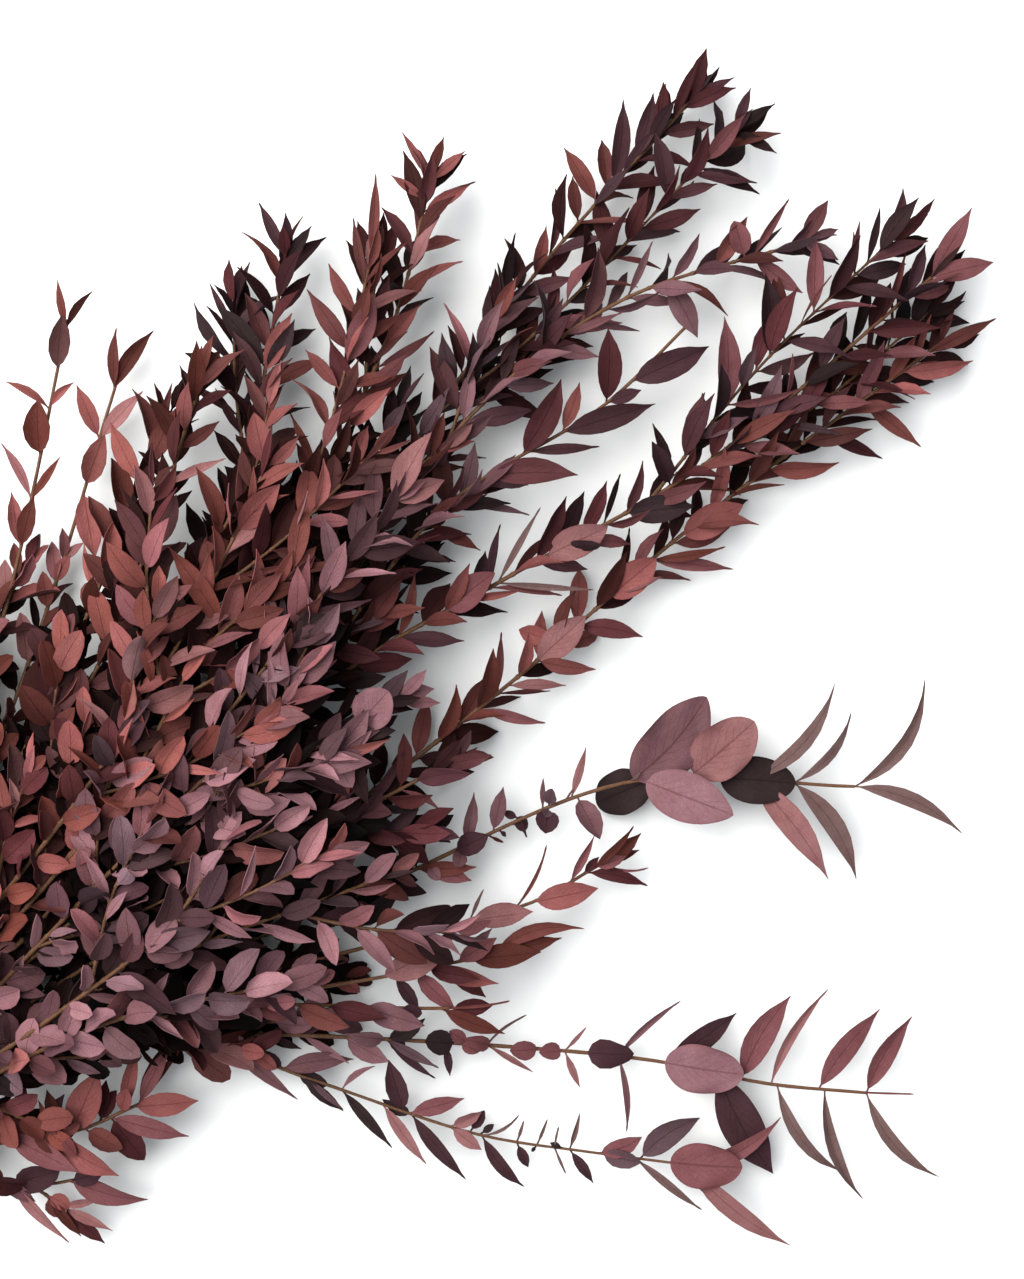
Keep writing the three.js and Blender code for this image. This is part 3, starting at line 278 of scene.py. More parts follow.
branch(
    0, "right_sprigs", "mauve", 14, 14,
    [(66, -43), (109, -81), (207, -188), (247, -237), (274, -278), (303, -313)], reach=40, leafy=(0.27, 0.44),
    size=0.62,
    leaves=[
        (246, -237, 270, -267, 22.5, 6), (226, -210, 241, -226, 14.8, 4),
        (268, -267, 310, -257, 12.6, 4, -0.06), (277, -280, 324, -267, 4.5, 5, -0.08),
        (290, -297, 334, -291, 10.3, 3, -0.05), (304, -312, 342, -302, 9.5, 3, -0.05),
        (251, -237, 287, -247, 10.8, -4), (235, -221, 273, -224, 3.1, 3, -0.05),
        (258, -261, 247, -310, 18.9, -5, 0.04), (276, -281, 269, -333, 5.9, -2, 0.1),
        (289, -299, 268, -347, 5.9, -3, 0.12), (303, -313, 299, -363, 6.3, -2, 0.12),
        (235, -224, 214, -249, 3.1, -1, -0.05), (212, -195, 203, -185, 9, 5), (219, -204, 212, -195, 8.1, 5),
        (152, -130, 161, -150, 9.9, 6), (166, -143, 158, -127, 7.7, 3), (187, -166, 179, -155, 11.7, 5),
        (199, -177, 193, -167, 7.2, 4), (116, -89, 143, -99, 9.5, -2), (114, -89, 119, -133, 6.8, 5),
        (109, -81, 114, -112, 4.5, 0), (165, -143, 186, -148, 7.7, 3, 0.04), (164, -144, 175, -168, 4.5, 1),
        (196, -178, 203, -200, 2.9, -1), (218, -205, 213, -220, 3.6, -1), (183, -164, 175, -175, 4, -2),
    ],
    small_leaves=[
        (301, -312, 318, -328, 1, 3), (114, -87, 110, -77, 6.3, 2), (116, -88, 132, -93, 5.4, 5),
        (115, -88, 123, -102, 6.3, 6), (128, -103, 139, -109, 4.5, -2), (137, -111, 148, -112, 3.1, 3),
        (140, -115, 154, -117, 4, 3), (127, -103, 136, -119, 4.5, -3), (139, -115, 148, -138, 4, 5),
        (165, -143, 170, -151, 6.3, -3), (164, -146, 169, -171, 4, -1), (193, -171, 190, -160, 6.3, 2),
        (187, -166, 193, -176, 5.9, 2), (198, -176, 219, -180, 1.4, 4, -0.1), (221, -201, 235, -202, 2, 4),
    ],
    tints="pale_mauve plum rose dusty_pink rose rose plum mauve plum grey_brown grey_brown grey_brown mauve "
          "rose rose pale_mauve pale_mauve near_black rose near_black mauve mauve near_black grey_mauve "
          "dusty_pink dusty_pink plum rose plum grey_mauve mauve near_black plum plum near_black pale_mauve "
          "near_black plum rose rose grey_brown dusty_pink",
    shoots=[dict(
        start=(109, -81), end=14, route=[(124, -119), (136, -144), (166, -203), (196, -244), (223, -279)],
        leafy=(0.02, 0.05), size=0.62,
        leaves=[
            (216, -272, 240, -296, 20.7, 6), (209, -262, 242, -267, 12.6, 3, -0.08),
            (223, -279, 268, -293, 7.2, 2, 0.1), (223, -280, 230, -337, 9, 1, 0.05),
            (207, -261, 212, -299, 4, -2), (197, -247, 217, -255, 8.6, 4, 0.05),
            (150, -175, 147, -213, 6.8, 0), (135, -145, 134, -179, 5.4, 1),
            (167, -204, 163, -234, 6.3, 0, 0.05), (149, -172, 161, -150, 9.9, 6),
            (124, -119, 150, -138, 9, 4, -0.05), (127, -127, 130, -152, 5.9, 0),
            (150, -173, 173, -186, 8.1, 3), (144, -162, 139, -195, 5.9, 2), (190, -237, 187, -255, 5, -1),
            (158, -192, 162, -208, 6.8, 2), (176, -217, 171, -229, 5, -1),
        ],
        small_leaves=[
            (134, -141, 127, -125, 7.2, -3), (127, -131, 131, -151, 3.1, 4),
            (136, -144, 155, -147, 3.1, 5, -0.1), (124, -120, 123, -106, 7.2, 1),
            (154, -174, 145, -161, 7.2, -2), (159, -191, 174, -196, 6.3, 3), (164, -199, 175, -197, 5.4, -2),
            (170, -202, 185, -209, 1.6, 4, 0.1), (167, -202, 174, -204, 3.6, 1),
            (177, -216, 185, -212, 1.6, 4), (182, -224, 193, -219, 1.6, 4), (181, -225, 177, -225, 1.8, -1),
            (187, -230, 194, -225, 1.1, 4), (185, -231, 181, -243, 1.4, 0), (190, -234, 186, -228, 3.1, 1),
            (191, -236, 205, -228, 2.5, 5), (197, -248, 209, -263, 8.6, 3), (220, -283, 220, -299, 5.4, -3),
        ],
        tints="rose grey_mauve rose dusty_pink grey_brown rose plum near_black plum plum mauve near_black "
              "rose dusty_pink plum dusty_pink plum near_black grey_mauve pale_mauve plum near_black "
              "dusty_pink plum grey_brown near_black grey_brown grey_brown near_black grey_brown grey_brown "
              "near_black grey_brown grey_mauve grey_mauve",
    )],
)
branch(1, "left_outer", "brick", 27, 15, ray(38, 305, 6))
branch(
    1, "far_left_pairs", "brick", 27, 15, [(180, 113), (295, 189)], reach=150, spacing=22, size=0.9,
    leafy=(0.27, 0.62),
    leaves=[
        (277, 174, 295, 191, 9.9, 4), (243, 151, 260, 171, 12.2, 5), (208, 129, 223, 150, 7.2, 3),
        (208, 129, 229, 141, 8.1, 3), (261, 165, 255, 188, 4, 3, 0.1), (261, 165, 277, 166, 4, 2, -0.1),
        (291, 186, 304, 204, 4, 5), (291, 186, 312, 189, 4, 5, -0.05), (226, 143, 235, 169, 4.5, 3, 0.05),
        (226, 143, 249, 146, 4, 3),
    ],
)
branch(
    1, "dark_tip", "plum", 28, 20, [(200, 41), (292, 78), (384, 138)], reach=350,
    leaves=[
        (384, 138, 393, 164, 5.4, 4), (384, 138, 393, 148, 5.4, 5), (383, 137, 402, 140, 5.4, 4),
        (345, 101, 368, 118, 9, 6), (344, 108, 347, 145, 9.9, 3, 0.04),
    ],
    tints="- - - coral near_black",
)
branch(
    1, "long_mauve", "mauve", 28, 24, [(267, 13), (398, 29), (476, 18), (552, -21)], spacing=13, reach=380,
    leaves=[
        (552, -21, 573, -16, 7.7, 5), (552, -21, 558, -38, 6.3, 3), (526, -12, 537, 7, 9.9, 4),
        (496, 6, 489, -18, 10.8, 4),
    ],
)
branch(
    1, "longest", "plum", 28, 24, [(258, -10), (346, -32), (449, -60), (582, -73)], spacing=12, reach=215,
    leaves=[
        (371, -40, 400, -50, 14.8, 5), (324, -22, 350, -28, 13.5, 5), (347, -34, 385, -22, 3.1, 4),
        (347, -35, 376, -65, 3.1, -2), (409, -49, 434, -70, 12.6, 4), (434, -56, 441, -37, 9, 3),
        (582, -74, 616, -64, 9, 5), (582, -74, 606, -88, 9.9, 3),
    ],
    tints="dusty_pink rose grey_brown grey_brown - - rose rose",
    shoots=[
        dict(
            start=(422, -53), end=32, route=[(500, -47), (584, -49)],
            leaves=[
                (449, -55, 473, -37, 8.1, 2), (475, -51, 503, -20, 10.8, 5, 0.04),
                (505, -48, 529, -19, 10.8, 5, 0.04),
            ],
        ),
        dict(start=(449, -60), end=13, route=[(505, -77), (574, -84)]),
    ],
)
branch(
    1, "right_tip", "brick", 26, 16, [(102, -57), (204, -114), (257, -145), (292, -155)], reach=120,
    leafy=(0.4, 0.68),
    leaves=[
        (232, -130, 255, -148, 11.2, 5), (258, -145, 283, -161, 11.7, 5),
        (284, -155, 299, -177, 6.3, 0, -0.08), (290, -154, 314, -158, 7.2, 1), (287, -154, 302, -160, 5.9, 6),
        (277, -148, 298, -144, 4, 4), (252, -139, 280, -132, 1.8, 3, 0.05), (288, -151, 313, -153, 4, 4),
        (293, -155, 308, -163, 4.5, 0),
    ],
    small_leaves=[
        (292, -155, 305, -171, 1.4, 4, 0.1), (231, -132, 246, -125, 1.8, 3), (281, -151, 293, -152, 4, 0),
    ],
    tints="dusty_pink coral burgundy russet rose rose brick russet russet rose grey_brown burgundy",
)
branch(
    1, "lower_left", "brick", 17, 13, [(-6, -44), (-1, -65), (14, -82), (29, -92)], leafy=(0.5, 0.68),
    leaves=[
        (20, -87, 38, -118, 11.2, 4), (21, -87, 36, -94, 9, 1), (2, -68, 22, -80, 13.1, 3),
        (1, -69, 2, -106, 5.9, 2), (8, -74, -1, -55, 9.9, 2),
    ],
    small_leaves=[(-3, -67, 4, -82, 6.3, 2)],
    tints="rose plum plum dusty_pink burgundy mauve",
    shoots=[dict(
        start=(8, -75), end=9, route=[(8, -85), (9, -95)], leafy=(0.4, 0.42),
        leaves=[(8, -93, 11, -118, 7.2, 2), (10, -94, 20, -115, 5, 3)],
        small_leaves=[(10, -92, 23, -102, 4, 3), (8, -85, 6, -108, 5, 0)],
        tints="burgundy dusty_pink dusty_pink russet",
    )],
)
branch(2, "left_middle", "brick", 40, 30, ray(44, 200, 6))
branch(2, "left_brick", "brick", 40, 24, [(175, 73), (298, 125)], reach=220)
branch(
    2, "brick_crown", "brick", 41, 24, [(216, 25), (391, 80), (454, 116)],
    leaves=[
        (454, 116, 460, 140, 4, 6), (453, 115, 474, 114, 5.4, 4), (442, 108, 465, 102, 6.3, 3),
        (446, 110, 443, 130, 4.5, 4),
    ],
    tints="coral coral coral coral",
    shoots=[dict(
        start=(302, 54), end=36, route=[(362, 79), (410, 109)],
        leaves=[(410, 109, 438, 133, 5, 4), (369, 83, 400, 96, 11.7, 5)],
    )],
)
branch(
    2, "dark_pairs", "plum", 41, 26, [(213, -10), (352, 8), (438, -10), (492, -11)], spacing=18, reach=200,
    leafy=(0.22, 0.76),
    leaves=[
        (377, 2, 407, -24, 12.2, 2, -0.03), (398, -2, 423, -22, 5, -2), (397, -1, 432, 11, 12.2, 4, 0.03),
        (416, -6, 437, 4, 6.8, 4), (416, -6, 454, -26, 11.2, 2), (438, -10, 463, 13, 11.2, 4, 0.03),
        (454, -10, 489, -25, 13.1, 3), (438, -10, 454, -17, 6.3, -2), (356, 7, 378, -11, 6.3, -3),
        (356, 7, 372, 28, 9.9, 3),
    ],
)
branch(
    2, "middle_dark", "plum", 40, 36, ray(-13, 288, -2), reach=170,
    shoots=[dict(start=(205, -52), end=30, route=[(228, -70), (246, -87)])],
)
branch(
    2, "right_brown", "brick", 38, 24, [(100, -59), (188, -121), (243, -158)], reach=110, leafy=(0.38, 0.68),
    leaves=[
        (191, -114, 223, -131, 13.5, 8), (192, -121, 219, -132, 9, 6), (202, -137, 222, -159, 8.6, 5),
        (218, -145, 245, -163, 11.2, -3), (235, -141, 266, -169, 6.8, 2, -0.12),
        (234, -148, 256, -165, 7.2, -4), (215, -138, 236, -144, 8.6, 5), (196, -135, 200, -154, 8.6, 3),
        (230, -143, 243, -158, 7.2, -3), (220, -136, 237, -140, 5.4, 2), (202, -119, 229, -129, 5.4, -3),
        (206, -130, 218, -151, 8.1, -3), (207, -140, 213, -160, 7.7, -3), (238, -147, 249, -164, 6.3, -4),
    ],
    small_leaves=[(189, -128, 188, -143, 6.3, -2)],
    tints="dusty_pink dusty_pink coral russet brick russet rose rose burgundy mauve burgundy burgundy "
          "burgundy russet plum",
)
branch(
    2, "coral", "brick", 27, 19, [(12, -44), (38, -71), (68, -84)], leafy=(0.45, 0.66),
    leaves=[
        (39, -71, 67, -61, 14.8, 6), (60, -83, 88, -64, 6.8, 6), (73, -85, 98, -75, 6.8, 5),
        (73, -86, 103, -79, 3.1, 0), (69, -83, 93, -73, 5.9, -1), (66, -82, 89, -102, 10.8, 4),
        (55, -80, 74, -110, 9, 3), (44, -75, 49, -93, 10.8, 1), (55, -80, 51, -104, 12.6, -5),
        (28, -62, 42, -100, 12.6, 7), (18, -51, 31, -87, 10.8, 1), (29, -62, 24, -36, 13.5, 1),
    ],
    small_leaves=[
        (60, -81, 72, -75, 7.7, 10), (30, -63, 40, -51, 3.6, 6, 0.1), (50, -78, 65, -72, 8.1, -3),
        (21, -53, 39, -42, 7.7, -3), (29, -61, 48, -57, 7.2, -4), (36, -68, 44, -50, 6.8, -2),
        (51, -76, 65, -66, 6.8, -4), (17, -48, 25, -32, 7.2, -2), (25, -58, 27, -40, 6.3, -4),
    ],
    tints="coral coral rose russet burgundy coral rose brick burgundy coral rose brick coral brick burgundy "
          "burgundy plum russet burgundy plum burgundy",
)
branch(2, "lower_right", "mauve", 34, 31, ray(-58, 76, -4), tone="brick")
branch(3, "left_inner", "brick", 52, 44, ray(33, 215, 4))
branch(3, "left_fork", "brick", 53, 32, [(210, 70), (320, 125)], reach=150)
branch(3, "heart_upper", "brick", 54, 48, ray(11, 305, 3))
branch(3, "heart", "mauve", 54, 52, ray(-3, 235, 0))
branch(3, "heart_right", "mauve", 52, 44, ray(-19, 240, -3))
branch(
    3, "right_edge", "plum", 48, 34, [(119, -72), (199, -151)], reach=90, leafy=(0.4, 0.72),
    leaves=[
        (202, -142, 209, -176, 7.7, 3, 0.03), (178, -118, 187, -148, 11.7, 5),
        (153, -102, 163, -125, 10.8, 3), (162, -112, 178, -134, 9, -4), (204, -145, 213, -164, 8.1, -2),
        (188, -130, 189, -144, 6.8, -4),
    ],
    small_leaves=[(209, -158, 220, -168, 1.4, 2)],
    tints="russet mauve brick burgundy burgundy plum brick",
)
branch(3, "right_short", "mauve", 44, 36, ray(-34, 97, -3), reach=40)
branch(
    4, "top_coral", "brick", 66, 56, [(160, 30), (250, 52), (312, 74)],
    leaves=[(312, 74, 325, 94, 11.2, 5), (285, 59, 311, 64, 11.7, 4), (263, 49, 271, 69, 9.9, 3)],
    tints="coral coral",
)
branch(
    4, "top_brick", "brick", 66, 60, [(170, 18), (234, 36), (288, 33)],
    leaves=[(288, 33, 317, 53, 9, 4), (259, 43, 285, 36, 9, 5), (250, 44, 258, 79, 9.9, 4, 0.03)],
)
branch(
    4, "top_mauve", "mauve", 67, 60, [(208, 8), (340, 24)], reach=190,
    leaves=[
        (340, 24, 373, 34, 12.2, 5), (340, 24, 363, 15, 9.5, 2), (312, 23, 336, 4, 11.2, 3, 0.03),
        (290, 22, 312, 11, 9, 0), (265, 20, 285, 10, 9, 3), (275, 21, 299, 33, 5.4, 2),
    ],
    tints="dusty_pink dusty_pink",
)
branch(
    4, "top_middle", "mauve", 67, 64, [(162, -3), (256, -4)],
    leaves=[(255, -4, 280, -2, 10.8, 6), (242, -2, 243, 17, 9.9, 3), (220, -1, 236, -6, 9, 3)],
)
branch(
    4, "top_pale", "mauve", 66, 60, [(73, -29), (148, -37), (212, -22), (260, -34)],
    leaves=[
        (259, -35, 281, -33, 18, 6), (245, -30, 240, -51, 12.2, 4), (250, -33, 239, -62, 9.9, -3),
        (189, -27, 202, -11, 8.1, 4), (148, -35, 128, -39, 11.7, 4), (122, -38, 135, -19, 10.8, 6),
        (130, -38, 153, -52, 11.7, 5), (113, -37, 118, -67, 11.7, 4),
    ],
    tints="pale_mauve pale_mauve - - pale_mauve mauve grey_mauve",
)
branch(4, "top_right", "mauve", 62, 54, ray(-27, 190, -3), reach=70)


def chance(*keys):
    """The same number from 0 to 1 for the same keys, for everything that varies from leaf to leaf."""
    mixed = 2166136261
    for key in keys:
        mixed = ((mixed ^ (key + 1)) * 16777619) & 0xFFFFFFFF
        mixed ^= mixed >> 15
        mixed = (mixed * 2246822519) & 0xFFFFFFFF
        mixed ^= mixed >> 13
    return mixed / 4294967296


def between(ends, share):
    return ends[0] + (ends[1] - ends[0]) * share


def ease(share):
    held = min(max(share, 0), 1)
    return held * held * (3 - 2 * held)


class Course:
    """A smooth curve through points, each stretch timed by the square root of its length."""

    STEPS = 200

    def __init__(self, points):
        self.points = [Vector(point) for point in points]
        first, last = self.points[0], self.points[-1]
        self.held = [2 * first - self.points[1], *self.points, 2 * last - self.points[-2]]
        self.lengths = [0.0]
        before = self.at(0)
        for step in range(1, self.STEPS + 1):
            here = self.at(step / self.STEPS)
            self.lengths.append(self.lengths[-1] + (here - before).length)
            before = here
        self.length = self.lengths[-1]

    def at(self, time):
        """The point at a time from 0 to 1."""
        place = min(max(time, 0), 1) * (len(self.points) - 1)
        stretch = min(int(place), len(self.points) - 2)
        part = place - stretch
        a, b, c, d = self.held[stretch:stretch + 4]
        middle = (c - b).length_squared ** 0.25
        near = (b - a).length_squared ** 0.25
        far = (d - c).length_squared ** 0.25
        leave = ((b - a) / near - (c - a) / (near + middle) + (c - b) / middle) * middle
        arrive = ((c - b) / middle - (d - b) / (middle + far) + (d - c) / far) * middle
        square = part * part
        return (b + leave * part + (3 * (c - b) - 2 * leave - arrive) * square
                + (2 * (b - c) + leave + arrive) * square * part)

    def time(self, share):
        """The time at which a share of the length is behind."""
        wanted = min(max(share, 0), 1) * self.length
        low, high = 0, self.STEPS
        while high - low > 1:
            middle = (low + high) // 2
            if self.lengths[middle] <= wanted:
                low = middle
            else:
                high = middle
        gap = self.lengths[high] - self.lengths[low]
        return (low + (wanted - self.lengths[low]) / gap) / self.STEPS

    def point(self, share):
        return self.at(self.time(share))

    def tangent(self, share):
        time = self.time(share)
        return (self.at(min(time + 0.0001, 1)) - self.at(max(time - 0.0001, 0))).normalized()

    def nearest(self, x, y):
        """The share of the length whose point is nearest, seen from above."""
        best, least = 0, math.inf
        for step in range(self.STEPS + 1):
            spot = self.point(step / self.STEPS)
            apart = math.hypot(spot.x - x, spot.y - y)
            if apart < least:
                best, least = step / self.STEPS, apart
        return best


class Shoot:
    """A stem with its leaves: a branch's main stem or a side shoot."""

    def __init__(self, key, course, rule, bare, radii):
        self.key = key
        self.course = course
        self.length = course.length
        self.leaf_from, self.leaf_to = rule.get("leafy", (bare / self.length, 1))
        self.spacing = rule.get("spacing", PAIR_SPACING)
        self.size = rule.get("size", 1)
        self.phase = 360 * chance(key, PHASE_KEY)
        self.leaves = rule.get("leaves", []) + rule.get("small_leaves", [])
        self.tints = rule.get("tints", "").split()
        self.radii = radii
        most = math.floor((self.leaf_to - self.leaf_from) * self.length / self.spacing) + CROWDED_PAIRS
        self.pairs = [pair for pair in range(most + 1) if self.pair_share(pair) >= self.leaf_from]

    def own_tint(self, index):
        """The colour of a listed leaf, if it has one of its own."""
        if 0 <= index < len(self.tints) and self.tints[index] != "-":
            return Vector(TINTS[self.tints[index]])
        return None

    def pair_share(self, pair):
        """Where a pair of leaves grows, counted from the tip, where the pairs stand closest."""
        crowded = CROWDED_PAIRS * (1 - math.exp(-pair / (2 * CROWDED_PAIRS)))
        return self.leaf_to - (pair - crowded) * self.spacing / self.length


def stem_axes(tangent):
    right = tangent.cross(UP).normalized()
    return right, right.cross(tangent)


def main_course(rule, row, place, count):
    """Cut end, straight run through the tie, climb to the crest, down to the tip."""
    y = (place - (count - 1) / 2) * -SIDE_PITCH
    z = TIE_THICKNESS + SEAT_GAP + STEM_HALF_HEIGHT + row * ROW_PITCH
    from_outside = min(place, count - 1 - place)
    run_end = RUN_END_X + RUN_END_STEP * from_outside
    cut_end = CUT_END_X + CUT_END_SCATTER * chance(row, place)
    points = [(cut_end, y * CUT_END_SPREAD, z)]
    points += [(x, y, z) for x in (STRAIGHT_FROM_X, STRAIGHT_RING_X, run_end, run_end + RUN_OUT)]
    steps, total, start = [], 0, (run_end + RUN_OUT, y)
    for to in rule["route"]:
        total += math.dist(to, start)
        steps.append(total)
        start = to
    for (x, across), step in zip(rule["route"], steps):
        share = step / total
        climb = between((z, rule["crest"]), ease(share / CREST_SHARE))
        fall = ease((share - CREST_SHARE) / (1 - CREST_SHARE))
        points.append((x, across, between((climb, rule["end"]), fall)))
    return Course(points)


def routed_shoot(main, key, rule):
    """A side shoot with a route of its own, from the nearest point of the main stem."""
    start = main.course.point(main.course.nearest(*rule["start"]))
    count = len(rule["route"])
    points = [start] + [(x, y, between((start.z, rule["end"]), (i + 1) / count))
                        for i, (x, y) in enumerate(rule["route"])]
    return Shoot(key, Course(points), rule, SHOOT_BARE, (SHOOT_RADIUS, SHOOT_TIP_RADIUS))


def grown_shoot(main, index, rule, way):
    """A side shoot that grows by rule from the main stem; way is one of SHOOT_WAYS."""
    away = FIRST_SHOOT + SHOOT_SPACING * index + SHOOT_SCATTER * chance(main.key, index, 11)
    share = away / main.length
    if share > LAST_SHOOT_SHARE:
        return None
    start = main.course.point(share)
    reach = math.hypot(start.x, start.y)
    if reach > rule.get("reach", SHOOT_REACH):
        return None
    far = ease((reach - FAR_FROM) / FAR_SPAN)
    tangent = main.course.tangent(share)
    straight = Vector((tangent.x, tangent.y, 0)).normalized()
    side = way[0] if (index + main.key // BRANCH_KEYS) % 2 else -way[0]
    turn = math.radians(side * between((1, FAR_TURN), far) * between(SHOOT_TURN, chance(main.key, index, 12)))
    heading = Matrix.Rotation(turn, 3, "Z") @ straight
    long = between((1, FAR_LENGTH), far) * between(SHOOT_LENGTH, chance(main.key, index, 13))
    rise = SHOOT_RISE * (2 * chance(main.key, index, 14) - 1) + way[1]
    end = max(SHOOT_LOWEST, start.z + rise)
    middle = start + 0.5 * long * heading
    middle.z = (start.z + end) / 2
    tip = middle + (0.5 - SHOOT_STRAIGHTENING) * long * heading + SHOOT_STRAIGHTENING * long * straight
    tip.z = end
    habit = {key: rule[key] for key in ("size", "spacing") if key in rule}
    return Shoot(main.key + GROWN_KEY + index, Course((start, middle, tip)), habit, SHOOT_BARE,
                 (SHOOT_RADIUS, SHOOT_TIP_RADIUS))


def half_width(share, aspect):
    """Half of a blade's width at a share of its length, as a share of its full width."""
    fullness = min(max((aspect - SLIM_ASPECT) / (FULL_ASPECT - SLIM_ASPECT), 0), 1)
    root, point = (between(pair, fullness) for pair in zip(SLIM_OUTLINE, FULL_OUTLINE))
    widest = root / (root + point)
    full = widest ** root * (1 - widest) ** point
    return 0.5 * share ** root * (1 - share) ** point / full


def bulge(share):
    return 4 * share * (1 - share)


class Leaf:
    """Where a leaf grows, which way it points and faces, and its size."""

    def __init__(self, root, tangent, along, long, wide, arch, bow, keys):
        self.root = root
        self.along = along
        self.long = long
        self.wide = wide
        self.arch = arch
        self.bow = bow
        self.keys = keys
        self.rest_on_surface(tangent)

    def rest_on_surface(self, tangent):
        """Tips that would go below the surface are raised until they just touch it."""
        for _ in range(RAISES):
            self.turn_face(tangent)
            lowest = self.lowest()
            if lowest >= 0:
                return
            self.along.z += (RAISED_BY - lowest) / self.long
            self.along.normalize()
        self.turn_face(tangent)

    def turn_face(self, tangent):
        scatter = Vector((chance(*self.keys, 1) - 0.5, chance(*self.keys, 2) - 0.5, 0))
        most = FACE_SCATTER if self.keys[1] < PLACED_KEY else PLACED_SCATTER
        face = UP + FACE_LEAN * tangent + most * scatter
        self.face = (face - face.dot(self.along) * self.along).normalized()
        self.across = self.along.cross(self.face)

    def lowest(self):
        """The lowest point of the solid's leaf, which has its rim at two or three stations."""
        aspect = self.wide / self.long
        stations = BROAD_STATIONS if aspect > BROAD_ASPECT else SLIM_STATIONS
        heights = [self.root.z, self.root.z + self.along.z * self.long]
        for share in stations:
            centre = self.middle(share)
            half = half_width(share, aspect) * self.wide
            heights += [centre.z - half * abs(self.across.z), (centre + SOLID_BLADE * self.face).z]
        return min(heights)

    def middle(self, share):
        lift = bulge(share) * self.long
        return (self.root + share * self.long * self.along + lift * self.arch * self.face
                + lift * self.bow * self.across)

    @property
    def tip(self):
        return self.root + self.long * self.along


def grown_leaf(shoot, pair, side, turn):
    """A leaf of the pair that grows by rule; turn is one of TURNS."""
    keys = (shoot.key, pair, side)
    share = shoot.pair_share(pair)
    root = shoot.course.point(share)
    tangent = shoot.course.tangent(share)
    right, up = stem_axes(tangent)
    scatter = lambda key, span: span * (chance(*keys, key) - 0.5)
    around = math.radians(shoot.phase + 90 * pair + 180 * side + turn[0] + scatter(3, ROUND_SCATTER))
    usual = between((TIP_OPENING, LEAF_OPENING), ease(pair / TIP_PAIRS))
    opening = math.radians(usual + turn[1] + scatter(4, OPENING_SCATTER))
    along = (math.cos(opening) * tangent + math.sin(opening) * math.cos(around) * right
             + math.sin(opening) * math.sin(around) * up)
    along.z *= LEAF_FLATNESS
    along.normalize()
    reach = min(math.hypot(root.x, root.y), GROWTH_REACH)
    young = between((TIP_SIZE, 1), ease((pair + 1) / TIP_PAIRS))
    grown = (LEAF_LENGTH + LEAF_GROWTH * reach) * shoot.size * young
    long = grown * between(LENGTH_RANGE, chance(*keys, 5))
    narrow = NARROW_WIDTH if chance(*keys, 6) < NARROW_CHANCE else 1
    aspect = (LEAF_ASPECT - LEAF_SLIMMING * reach) * narrow * between(WIDTH_RANGE, chance(*keys, 7))
    arch = LEAF_ARCH + scatter(8, ARCH_SCATTER)
    return Leaf(root, tangent, along, long, long * aspect, arch, scatter(9, BOW_SCATTER), keys)


def placed_leaf(shoot, index, lift):
    """A listed leaf, rooted at the nearest point of its stem."""
    root_x, root_y, tip_x, tip_y, wide, rise, *bow = shoot.leaves[index]
    root = shoot.course.point(shoot.course.nearest(root_x, root_y))
    along = Vector((tip_x - root.x, tip_y - root.y, rise + lift))
    long = along.length
    along.normalize()
    return Leaf(root, UP, along, long, wide, LEAF_ARCH, sum(bow), (shoot.key, PLACED_KEY + index, 0))


# The growth frame's place in the row frame: the tie is centred across the fan and stands on the surface.
tie_low, tie_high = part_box("tie")
OFFSET = Vector(((tie_low.x + tie_high.x) / 2 / MM - TIE_MIDDLE_X, (tie_low.y + tie_high.y) / 2 / MM, 0))


class SolidPoints:
    """Finds which of a leaf's or a shoot's ways the solid branch has taken, from the solid's own points."""

    def __init__(self, name):
        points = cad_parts[name].data.vertices
        self.tree = kdtree.KDTree(len(points))
        for i, point in enumerate(points):
            self.tree.insert(point.co / MM - OFFSET, i)
        self.tree.balance()

    def chosen(self, ways, spot, close):
        """The first way whose spot lies on the solid, or else the first of all."""
        for way in ways:
            if way is not None and self.tree.find(spot(way))[2] < close:
                return way
        return ways[0]


def branch_shoots(rule, number, row, place, count, solid):
    """The main stem and all side shoots of one branch."""
    key = BRANCH_KEYS * (number + 1)
    main = Shoot(key, main_course(rule, row, place, count), rule, BARE_STEM, (STEM_RADIUS, STEM_TIP_RADIUS))
    shoots = [main]
    for i, shoot in enumerate(rule.get("shoots", ())):
        shoots.append(routed_shoot(main, key + ROUTED_KEY + i, shoot))
    for index in range(MOST_SHOOTS):
        ways = [grown_shoot(main, index, rule, way) for way in SHOOT_WAYS]
        if ways[0] is None:
            continue
        shoots.append(solid.chosen(ways, lambda way: way.course.points[-1], SHOOT_TIP_REACH))
    return shoots


CROWDED_ENDS = 0.75


